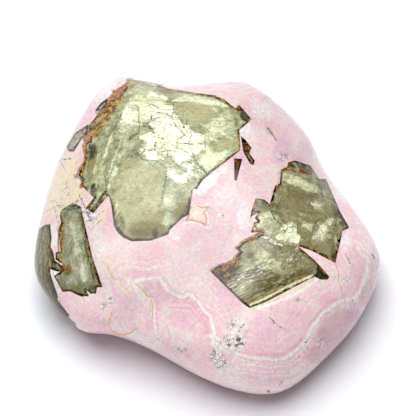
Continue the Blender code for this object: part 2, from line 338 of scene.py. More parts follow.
def face_coordinates(mesh):
    """A mesh's vertices in face axes, in millimetres."""
    flat = np.empty(len(mesh.vertices) * 3, np.float32)
    mesh.vertices.foreach_get("co", flat)
    return (flat.reshape(-1, 3).astype(float) / MM - OFFSET) @ FACE_AXES.T


# ---- pieces --------------------------------------------------------------------------------

def linked(name, data):
    """A new object of a mesh, light or camera, in the scene."""
    made = bpy.data.objects.new(name, data)
    bpy.context.scene.collection.objects.link(made)
    return made


def mesh_object(name, shape):
    """A new object from a bmesh, its faces turned outwards."""
    mesh = bpy.data.meshes.new(name)
    bmesh.ops.recalc_face_normals(shape, faces=shape.faces)
    shape.to_mesh(mesh)
    shape.free()
    return linked(name, mesh)


def stone_body(name, sphere, proud=0.0):
    """The whole stone, standing proud of the ground shape by a distance in millimetres."""
    directions, triangles = sphere
    points = stone_points(directions) + directions * proud
    points = (ground_flat(points @ FACE_AXES) + OFFSET) * MM
    if not bpy.data.meshes.get("whole stone"):
        mesh = bpy.data.meshes.new("whole stone")
        mesh.from_pydata(points, [], triangles)
    mesh = bpy.data.meshes["whole stone"].copy()
    mesh.name = name
    mesh.vertices.foreach_set("co", points.astype(np.float32).ravel())
    return linked(name, mesh)


def clockwise(outline):
    """An outline's points in clockwise order."""
    points = np.array(outline)
    u, v = points.T
    turns_left = np.sum(u * np.roll(v, -1) - v * np.roll(u, -1)) > 0
    return points[::-1] if turns_left else points


def widened(points, distance):
    """A clockwise outline moved outwards by a distance, its corners by at most twice that."""
    ahead = np.roll(points, -1, axis=0) - points
    ahead /= np.linalg.norm(ahead, axis=1)[:, None]
    normal = np.stack([-ahead[:, 1], ahead[:, 0]], axis=1)
    corner = normal + np.roll(normal, 1, axis=0)
    length = np.linalg.norm(corner, axis=1)[:, None]
    corner /= length
    return points + corner * distance * np.minimum(2 / length, LONGEST_CORNER)


def floor_heights(outline, floor):
    """The plane that lies closest to the face along an outline, read at the floor's corners."""
    flat = np.column_stack([outline, np.ones(len(outline))])
    plane = np.linalg.lstsq(flat, face_height(*outline.T), rcond=None)[0]
    return np.column_stack([floor, np.ones(len(floor))]) @ plane


def prism(name, crystal, widen):
    """A closed prism from above the face: straight down to just below it, then in to its floor."""
    outline = clockwise(crystal["outline"])
    middle = outline.mean(axis=0)
    wall = widened(outline, widen)
    floor = widened(middle + (outline - middle) * (1 - crystal["narrowing"]), widen)
    if crystal.get("wraps_rim"):
        floor_w = face_section()[0] * floor[:, 1]
    else:
        floor_w = floor_heights(outline, floor)
    rings = [
        np.column_stack([wall, np.full(len(wall), ABOVE_FACE)]),
        np.column_stack([wall, face_height(*wall.T) - STRAIGHT_WALL - widen]),
        np.column_stack([floor, floor_w - crystal["depth"] - widen]),
    ]
    shape = bmesh.new()
    top = shape.faces.new([shape.verts.new(point) for point in placed(rings[0])])
    cap = top
    for ring in rings[1:]:
        grown = bmesh.ops.extrude_face_region(shape, geom=[cap])["geom"]
        if cap is not top:
            shape.faces.remove(cap)
        cap = next(part for part in grown if isinstance(part, bmesh.types.BMFace))
        for vertex, point in zip(cap.verts, placed(ring)):
            vertex.co = point
    bmesh.ops.triangulate(shape, faces=shape.faces, quad_method="FIXED")
    return mesh_object(name, shape)


def cut(target, other, operation):
    """Adds a boolean of a target with another object."""
    boolean = target.modifiers.new(operation, "BOOLEAN")
    boolean.operation = operation
    boolean.solver = "MANIFOLD"
    boolean.object = other


def settle(made):
    """Applies the modifiers and shades the polished surface smooth."""
    graph = bpy.context.evaluated_depsgraph_get()
    mesh = bpy.data.meshes.new_from_object(made.evaluated_get(graph))
    made.modifiers.clear()
    made.data = mesh
    mesh.name = made.name
    mesh.shade_smooth()
    mesh.set_sharp_from_angle(angle=SHARP_EDGE)


def grow_stone():
    """The pink calcite with its pockets, and its crystals by name."""
    sphere = fine_sphere()
    matrix = stone_body("stone_pink_calcite", sphere)
    cutters = []
    crystals = {}
    for name, crystal in CRYSTALS.items():
        grown = stone_body(f"stone_{name}", sphere, PROUD)
        shape = prism("shape", crystal, BEDDING)
        cut(grown, shape, "INTERSECT")
        cutters.append(shape)
        if "stops_at" in crystal:
            wall = prism("wall", CRYSTALS[crystal["stops_at"]], BEDDING)
            cut(grown, wall, "DIFFERENCE")
            cutters.append(wall)
        pocket = prism("pocket", crystal, 0.0)
        cut(matrix, pocket, "DIFFERENCE")
        cutters.append(pocket)
        crystals[name] = grown
    settle(matrix)
    for made in crystals.values():
        settle(made)
    for cutter in cutters:
        bpy.data.objects.remove(cutter)
    return matrix, crystals


# ---- marks on the face ---------------------------------------------------------------------

def line(half_width, strength, *places):
    """A soft line through the places."""
    return ("line", half_width, strength, places)


def patch(softness, strength, *places):
    """A filled outline whose edge runs over twice the softness to either side."""
    return ("patch", 2 * softness, strength, places)


def spot(x, y, rx, ry, turn, strength):
    """A soft ellipse, turned by an angle in degrees."""
    return ("spot", x, y, rx, ry, turn, strength)


# The growth bands' lines. They and the marks below are in pixels of the picture.
MAIN_BAND = (
    (214, 334), (222, 341), (233, 350), (240, 354), (250, 356), (265, 357.5), (275, 359), (285, 357),
    (292, 352), (300, 345), (306, 335), (312, 325), (320, 314), (328, 308), (336, 303), (343, 300),
    (350, 300), (355, 296), (360, 290), (362, 282), (366, 272), (368, 262), (366, 256), (360, 252),
    (357, 247),
)
MIDDLE_BAND = (
    (137, 280), (143, 279), (151, 278), (160, 277), (163, 283), (168, 290), (176, 295.5), (183, 296.5),
    (191, 293.5), (197, 300), (203, 308), (210, 315), (212, 320), (213, 326), (215, 333),
)
LEFT_BAND = ((133, 281), (140, 288), (146, 295), (152, 301), (153, 308), (152, 315))
CELL_ARC = ((184, 225), (190, 222.5), (197, 222.5), (203, 226), (209, 229))
GUIDES = (MAIN_BAND, MIDDLE_BAND, LEFT_BAND, CELL_ARC)

# The calcite's marks, by the colour that they lay on.

CALCITE_MARKS = {
    "lilac": (
        spot(282, 152, 16, 22, 20, 0.8), spot(305, 150, 14, 20, 20, 0.5), spot(352, 313, 11, 14, 30, 0.9),
        spot(322, 333, 9, 9, 0, 1.0), spot(262, 330, 24, 26, 0, 0.5), spot(152, 290, 12, 24, -25, 0.4),
        spot(222, 246, 24, 32, 0, 0.3), spot(195, 245, 36, 30, 0, 0.3), spot(126, 305, 26, 26, 0, 0.5),
        spot(152, 318, 10, 24, -10, 0.5), spot(176, 300, 22, 10, 20, 0.3), spot(210, 262, 22, 20, 0, 0.3),
        spot(183, 270, 22, 20, 0, 0.4), spot(182, 317, 22, 18, 0, 0.5), spot(270, 375, 40, 14, -5, 0.4),
        spot(240, 160, 30, 30, 0, 0.3), spot(335, 350, 16, 30, 40, 0.4), spot(180, 345, 30, 18, 25, 0.4),
    ),
    "rose": (
        patch(1.5, 0.4, (169, 306), (189, 307), (200, 319), (190, 328), (168, 326), (164, 321)),
        spot(297, 325, 20, 32, 20, 0.4), spot(272, 335, 26, 22, 0, 0.3), spot(326, 300, 11, 9, 0, 0.6),
        spot(350, 288, 9, 9, 0, 0.4), spot(142, 273, 26, 7, 0, 0.7), spot(150, 252, 34, 14, -5, 0.4),
        spot(320, 345, 34, 16, -45, 0.5), spot(338, 318, 14, 22, 40, 0.4), spot(152, 322, 10, 14, 0, 0.3),
        spot(232, 108, 40, 14, 20, 0.3), spot(200, 350, 26, 24, 30, 0.4), spot(205, 242, 44, 34, 0, 0.4),
        spot(232, 262, 26, 20, 0, 0.4), spot(262, 150, 26, 30, 20, 0.35),
        spot(300, 110, 30, 16, 45, 0.25), spot(262, 318, 14, 12, 0, 0.4), spot(225, 200, 18, 14, 0, 0.25),
        line(4.5, 0.9, (160, 283), (166, 291), (176, 299), (188, 299), (197, 306), (206, 318),
            (208, 330)),
        line(2.2, 0.9, (245, 349), (262, 352.5), (280, 353), (291, 347), (300, 338)),
        line(2.0, 0.7, (305, 328), (313, 317), (322, 307), (334, 299)),
        line(1.6, 0.6, (357, 286), (359, 276), (362, 266), (361, 259)),
    ),
    "cream": (
        patch(7, 0.85, (62, 150), (76, 152), (82, 168), (80, 182), (88, 195), (80, 206), (60, 216),
            (46, 222), (43, 210), (50, 186), (56, 165)),
        patch(2.5, 0.9, (190, 208), (198, 206), (204, 208), (203, 214), (204, 221), (196, 220),
            (189, 218)),
        spot(203, 206, 9, 6, 0, 0.4), spot(214, 212, 8, 8, 0, 0.35), spot(60, 285, 5, 6, 0, 0.4),
        spot(70, 291, 7, 3, 10, 0.8), spot(103, 216, 6, 16, 15, 0.6),
        line(1.0, 0.7, (109, 257), (113, 264), (119, 261), (125, 256), (135, 252)),
        line(2.4, 0.5, (108, 258), (110, 266), (112, 275)),
        line(1.6, 0.7, (118, 280), (124, 289), (130, 294)), spot(66, 196, 14, 8, -20, 0.9),
        line(1.4, 0.7, *LEFT_BAND), line(1.2, 0.6, (137, 283), (143, 290), (149, 297), (152.5, 304)),
        line(2.4, 0.45, (124, 276), (136, 282), (145, 288), (151, 296), (154.5, 303), (153.5, 320),
            (156, 335)),
        line(2.0, 0.3, (345, 284), (336, 291), (330, 296)),
        line(1.6, 0.9, (251, 305.5), (270, 295.5), (290, 285.5), (311, 275)),
        line(1.8, 0.9, (256, 306), (270, 299.5), (285, 293.5), (300, 286), (311, 279)),
        line(3.0, 0.25, *MAIN_BAND), spot(226, 332, 12, 6, -20, 0.5), spot(238, 88, 14, 5, 10, 0.3),
        spot(148, 345, 16, 4, 22, 0.4), line(1.2, 0.5, (189, 358), (193, 366)),
    ),
    "salmon": (
        line(2.0, 0.85, (124, 263), (133, 266), (145, 268), (158, 264.5), (164, 267)),
        spot(231, 339, 6, 4.5, 0, 0.9), spot(227, 322, 6, 6, 0, 0.5), spot(252, 350, 14, 4, 0, 0.5),
        line(1.4, 0.5, (166, 279), (170, 287), (177, 292), (186, 294)),
        line(1.2, 0.8, (196, 291), (204, 300), (211, 310), (217, 312)),
        line(1.0, 0.7, (219, 312), (217, 325), (222, 329)),
        line(0.9, 0.7, (199, 288), (208, 297), (216, 308)), spot(296, 250, 10, 3, -35, 0.4),
        spot(330, 262, 12, 5, -40, 0.5),
    ),
    # White calcite, with painted highlights on the upper-left rim and painted light along the bottom rim.
    "white": (
        spot(205, 181, 26, 14, -40, 1.0), spot(226, 196, 22, 20, 0, 0.5), spot(222, 170, 14, 8, -35, 0.6),
        spot(245, 127, 9, 9, 0, 1.0), spot(262, 112, 18, 16, 30, 0.55), spot(100, 100, 20, 12, -50, 0.4),
        spot(225, 98, 14, 5, 20, 0.4), spot(243, 218, 13, 22, 0, 0.6), spot(240, 165, 5, 9, 0, 0.5),
        spot(250, 150, 14, 30, 20, 0.35), spot(105, 92, 24, 9, -45, 0.6), spot(345, 242, 9, 14, 0, 0.6),
        spot(54, 236, 7, 20, 0, 0.9), spot(58, 264, 5, 14, 30, 0.9), spot(92, 285, 6, 3, 0, 0.8),
        line(1.6, 0.6, (54, 268), (56, 280), (61, 292)), spot(90, 212, 8, 6, 0, 0.6),
        spot(100, 245, 10, 24, -10, 0.5), spot(130, 248, 16, 8, -15, 0.3), spot(177, 238, 7, 4, 0, 0.8),
        spot(98, 232, 8, 5, 0, 0.5), spot(213, 338, 4, 12, 0, 0.6),
        line(1.7, 0.95, (256, 308), (270, 303), (285, 297.5), (300, 290), (311, 282.5), (316, 279)),
        line(1.2, 0.8, *CELL_ARC), line(1.0, 0.6, (207, 212), (209, 220), (211, 228)),
        spot(196, 214, 6, 7, 0, 0.6), spot(254, 101, 10, 8, 10, 0.5), spot(228, 372, 26, 8, 18, 0.35),
    ),
    "band": (
        line(0.7, 0.8, *MAIN_BAND[2:]), line(0.6, 0.7, *MAIN_BAND[:3]), line(2.4, 0.3, *MAIN_BAND[:15]),
        line(1.0, 0.95, *MIDDLE_BAND[:9]), line(0.8, 0.9, *MIDDLE_BAND[8:12]),
        line(0.8, 0.9, *MIDDLE_BAND[11:]), line(2.2, 0.35, *MIDDLE_BAND),
        line(1.0, 0.75, (154.5, 304), (154.5, 318), (157, 334)), line(1.0, 0.6, *LEFT_BAND),
        line(0.8, 0.7, (240, 361.5), (262, 365), (285, 365), (300, 358)),
        line(0.6, 0.6, (236, 366), (262, 370), (288, 370), (304, 362)),
        line(0.6, 0.5, (232, 369), (260, 374), (286, 374), (302, 368)),
        line(0.8, 0.7, (352, 240), (358, 243), (365, 250), (371, 256), (374, 266), (372, 280),
            (366, 290)),
        line(0.7, 0.6, (362, 240), (368, 248), (376, 258), (378, 270), (374, 286)),
        line(0.7, 0.6, (347, 296), (357, 291), (364, 280), (369, 268)),
        line(0.6, 0.6, (299, 350), (309, 333), (320, 320), (334, 309)),
        line(0.6, 0.5, (164, 288), (174, 299), (184, 301), (192, 299), (199, 308), (206, 319)),
        line(0.6, 0.5, (172, 286), (178, 291), (186, 291), (192, 289), (201, 297), (209, 308)),
        line(0.6, 0.5, (138, 278), (150, 275), (162, 273), (170, 279)),
        line(2.2, 0.5, (126, 264), (144, 269), (160, 266)), line(0.6, 0.5, (181, 327), (182, 345)),
        line(0.6, 0.5, (173, 327), (172, 345)), line(0.6, 0.4, (190, 330), (192, 346)),
        line(0.5, 0.5, (174, 312), (178, 309), (188, 311)), line(0.5, 0.4, (166, 316), (168, 309)),
    ),
    # Mostly painted shade: round the rim, at the lower right and beside the crystals. The two lines are
    # real dusky arcs.
    "dusky": (
        spot(338, 330, 30, 40, 40, 1.0), spot(318, 352, 22, 16, -30, 0.8),
        spot(366, 292, 10, 24, 25, 0.8), spot(372, 262, 8, 24, 0, 0.5), spot(110, 338, 40, 8, 12, 0.6),
        spot(90, 318, 20, 16, 40, 0.3), spot(204, 240, 44, 44, -20, 0.4), spot(230, 300, 22, 40, 0, 0.5),
        spot(186, 208, 18, 18, 0, 0.3), spot(214, 266, 20, 14, 0, 0.4), spot(206, 231, 11, 9, 10, 0.6),
        spot(212, 213, 8, 12, 0, 0.5),
        line(0.8, 0.5, (186, 236), (190, 231), (197, 229), (205, 231), (210, 237)),
        line(0.7, 0.45, (188, 243), (192, 237), (198, 235), (204, 238), (207, 244)),
        spot(176, 352, 30, 10, 22, 0.35), spot(205, 318, 12, 20, 0, 0.3), spot(355, 268, 12, 30, 0, 0.3),
    ),
    "green": (
        line(2.4, 1.6, (60, 312), (67, 318), (74, 324)), line(0.9, 0.6, (72, 322), (80, 329), (90, 334)),
        spot(281, 380, 1.6, 3, -60, 0.6),
    ),
    "brown": (
        line(2.6, 0.9, (126, 83), (119, 92), (111, 100), (104, 110), (97, 119), (89, 127), (86, 140)),
        line(2.0, 0.9, (84, 146), (86, 154), (84.5, 162), (80, 170), (78.5, 176), (82, 180), (81.5, 187)),
        spot(114, 92, 5, 4, 30, 0.9), line(1.6, 0.7, (125, 79), (138, 77), (152, 80), (162, 84)),
        spot(98, 112, 5, 6, 30, 0.7),
        line(1.8, 0.95, (210, 270), (219, 264.5), (233, 261), (235.5, 256), (239, 252), (236, 247.5),
            (243, 240.5), (252, 237), (262, 232.5)),
        line(1.2, 0.6, (251, 214), (249, 222)),
        patch(1.0, 0.9, (95, 118), (103, 105), (111, 93), (118, 86), (126, 82), (128, 88), (121, 100),
            (112, 103), (108, 113), (98, 117)),
        patch(1.0, 0.8, (84, 128), (90, 124), (91, 142), (84, 147), (82, 138)),
        line(1.0, 0.6, (272, 205), (272, 192), (278, 182), (279, 172)), spot(60, 262, 3, 4, 0, 0.6),
        line(1.0, 0.8, (60.5, 228), (58.5, 244), (60.5, 256)),
        line(0.8, 0.5, (240, 150), (226, 162), (206, 178)),
        line(0.7, 0.6, (53, 262), (55, 276), (60, 290)),
    ),
    "tan": (
        line(1.2, 1.0, (191, 206), (187.5, 211), (189.5, 215), (186, 221)),
        line(1.3, 1.0, (186, 221), (192, 220), (198, 221.5), (205, 225)),
        line(1.0, 0.9, (205, 225), (206.5, 219), (204.5, 212), (209, 206.5), (203, 207), (197, 205.5)),
        line(0.7, 0.6, (192, 209), (195, 214), (193, 219)),
        line(0.9, 0.7, (137, 283), (143, 289), (149, 296)),
        line(0.8, 0.8, (151, 299), (153.5, 306), (152.5, 316)),
        line(0.6, 0.75, (334, 262), (337, 270), (338, 280), (341, 292), (343, 298), (344, 305)),
        line(0.8, 0.8, (104.5, 318), (105.5, 332)), line(0.8, 0.7, (86, 232), (90, 237)),
        spot(89, 236, 3, 1.6, 0, 0.8), spot(94, 241, 3, 1.4, 30, 0.5), spot(213, 174, 3, 2, 0, 0.4),
        spot(305, 158, 3, 3, 0, 0.4), spot(170, 271.5, 2.2, 2.2, 0, 0.5),
        line(0.7, 0.5, (212, 228), (210, 234)),
    ),
    "orange": (
        line(0.9, 0.85, (112.5, 312), (110.5, 318), (110, 324), (113, 330), (118, 332.5), (125, 333.5),
            (132, 331), (137, 327)),
        line(1.0, 0.9, (112.5, 312), (110.5, 319), (110, 324)),
        line(0.8, 0.7, (108.5, 264), (110, 271), (112, 275), (118, 280)),
        spot(112, 314, 1.6, 2.4, 0, 1.0), spot(124, 254.5, 2, 1, 0, 0.6),
        spot(111, 265, 2.5, 1.4, 0, 0.7), spot(113, 90.5, 4.2, 2.8, 20, 1.0),
        spot(105, 106, 3.5, 3, 0, 0.7), line(1.0, 0.9, (295.5, 245), (300, 248.5), (307, 254.5)),
    ),
    "mauve": (
        line(0.7, 0.8, (169, 306), (179, 307.5), (189, 307), (194, 312), (200, 319), (195, 324),
            (190, 328)),
        line(0.6, 0.7, (169, 306), (167, 314), (164, 321), (168, 326), (170, 334), (168, 345)),
        line(0.8, 0.3, (153, 282), (158, 292), (160, 304), (158, 318), (160, 328)),
        line(0.8, 0.6, (166, 276), (168, 283), (173, 289), (181, 292.5), (188, 290)),
        line(0.7, 0.5, (205, 296), (212, 305), (217, 312)), spot(230, 318, 6, 5, 0, 0.5),
        spot(222, 322, 6, 5, 0, 0.4), spot(186, 312, 3, 8, 0, 0.3),
    ),
    "grey": (
        spot(267, 97, 6, 4, 30, 0.6), spot(236, 89.5, 6, 2, 0, 0.6), spot(269, 131, 6, 9, -25, 0.7),
        spot(221, 216, 4, 6, 0, 0.5), spot(222, 252, 3, 4, 0, 0.5), spot(207, 240, 3, 3, 0, 0.4),
        spot(281, 381, 5, 3, -60, 0.8), spot(182, 348, 10, 5, 10, 0.7), spot(187, 354, 5, 4, 0, 0.6),
        line(1.0, 0.7, (240, 345), (232, 352), (225, 360)), spot(248, 82, 12, 3, 12, 0.4),
        line(1.4, 0.7, (276, 101), (288, 112)), spot(228, 262, 5, 3, 0, 0.4),
        spot(112, 298, 5, 4, 40, 0.8), spot(351, 302, 4, 3, -40, 0.9), spot(78, 163, 1.5, 5, 10, 0.5),
        spot(345, 278, 6, 6, 0, 0.3), spot(240, 320, 10, 6, 0, 0.4),
        line(0.8, 0.5, (320, 318), (318, 330), (326, 340)), spot(150, 340, 14, 3, 25, 0.5),
        spot(290, 160, 10, 5, 10, 0.4),
    ),
    "speckle": (
        spot(80, 214, 16, 18, 0, 0.9), spot(217, 350, 9, 18, 15, 1.0), spot(234, 340, 16, 15, 0, 1.0),
        spot(234, 322, 12, 10, 0, 0.9), spot(98, 284, 9, 5, 0, 0.6), spot(222, 362, 8, 8, 0, 0.9),
        spot(110, 299, 9, 6, 30, 0.9), spot(297, 299, 6, 5, 0, 0.8), spot(284, 158, 13, 6, 20, 0.9),
        spot(344, 278, 5, 8, 0, 0.7), spot(352, 302, 5, 4, -30, 0.8), spot(221, 215, 3, 5, 0, 0.9),
        spot(230, 230, 4, 6, 0, 0.6), spot(92, 216, 8, 14, 10, 1.0), spot(72, 208, 20, 9, -10, 1.0),
        spot(62, 162, 5, 7, 30, 0.8), spot(60, 201, 8, 6, 0, 0.6), spot(182, 348, 9, 5, 0, 0.7),
        spot(321, 342, 9, 9, 0, 0.6), spot(304, 346, 7, 6, 40, 0.4), spot(66, 190, 8, 12, 0, 0.6),
        spot(58, 295, 4, 14, -15, 0.6), spot(104, 305, 6, 8, 0, 0.5), spot(285, 172, 5, 4, 0, 0.7),
        spot(256, 190, 5, 12, -20, 0.4), spot(245, 325, 12, 10, 0, 0.3), spot(78, 175, 5, 12, 0, 0.6),
        spot(378, 265, 4, 16, 0, 0.4), spot(270, 100, 10, 7, 30, 0.4),
    ),
    "dark": (
        line(0.6, 1.0, (236, 335), (239, 341), (244, 343)), line(0.5, 1.0, (233, 345), (240, 342)),
        spot(237, 338, 3.5, 3, 0, 1.0), spot(242, 342, 3, 2, 0, 0.8),
        line(0.7, 0.9, (244, 323), (240, 327), (238.5, 331)), line(1.0, 0.9, (217, 366), (222, 363.5)),
        line(1.3, 1.0, (63, 160), (66, 159), (70, 158.5)), spot(66, 161, 2, 1, 0, 0.9),
        line(0.8, 0.8, (60.5, 163), (64, 169)), line(0.7, 0.6, (77, 161), (76, 166)),
        line(0.6, 0.7, (77, 170), (75, 176), (75, 181)), line(0.9, 0.8, (50.5, 201), (55, 200)),
        line(0.9, 0.9, (269, 316), (274, 321)), line(0.8, 0.8, (274, 321), (281, 326), (288, 331.5)),
        line(0.6, 0.7, (270, 304), (271, 313)), line(0.9, 0.8, (296, 357.5), (299, 354)),
        line(1.2, 0.9, (304, 341), (307, 338)), line(0.9, 0.8, (345, 254), (347, 258), (349, 262.5)),
        line(1.2, 1.0, (371.5, 254), (373, 258.5)), spot(267.5, 389.5, 2.6, 2.4, 0, 1.0),
        line(1.0, 0.7, (283, 378), (279, 384)), line(1.2, 0.9, (268, 129), (271, 133), (276, 140)),
        line(1.0, 0.9, (278, 102.5), (282, 107), (288, 111.5)), spot(188.5, 356, 1.5, 1.3, 0, 0.9),
        spot(152, 246, 1.2, 1.0, 0, 0.9), spot(210.5, 208.5, 1.4, 1.0, 0, 0.9),
        spot(266, 191, 1.8, 2.2, 0, 0.8), line(0.6, 0.6, (250, 177), (254, 186), (257, 195)),
        spot(58, 288, 1.4, 1, 0, 0.8), line(0.5, 0.8, (52, 202), (56, 214), (60, 226)),
        line(0.5, 0.8, (44, 213), (56, 206), (66, 205)),
        line(0.6, 0.8, (86, 222), (92, 230), (98, 224), (104, 218)), line(0.5, 0.7, (88, 212), (94, 222)),
        line(0.8, 0.9, (61, 213), (66, 208), (73, 204), (79, 201)),
        line(0.7, 0.9, (80, 195), (84, 204), (88, 214), (92, 221)),
        line(0.7, 0.8, (88, 215), (94, 212), (100, 214), (105, 210)),
        line(0.7, 0.8, (56, 201), (60, 207), (62, 214)), line(0.5, 0.6, (56, 296), (60, 302), (58, 310)),
        line(0.5, 0.6, (146, 331), (158, 338), (166, 342)), line(0.8, 0.6, (262, 97), (267, 100)),
        line(0.7, 0.5, (233, 89), (241, 90.5)),
    ),
}

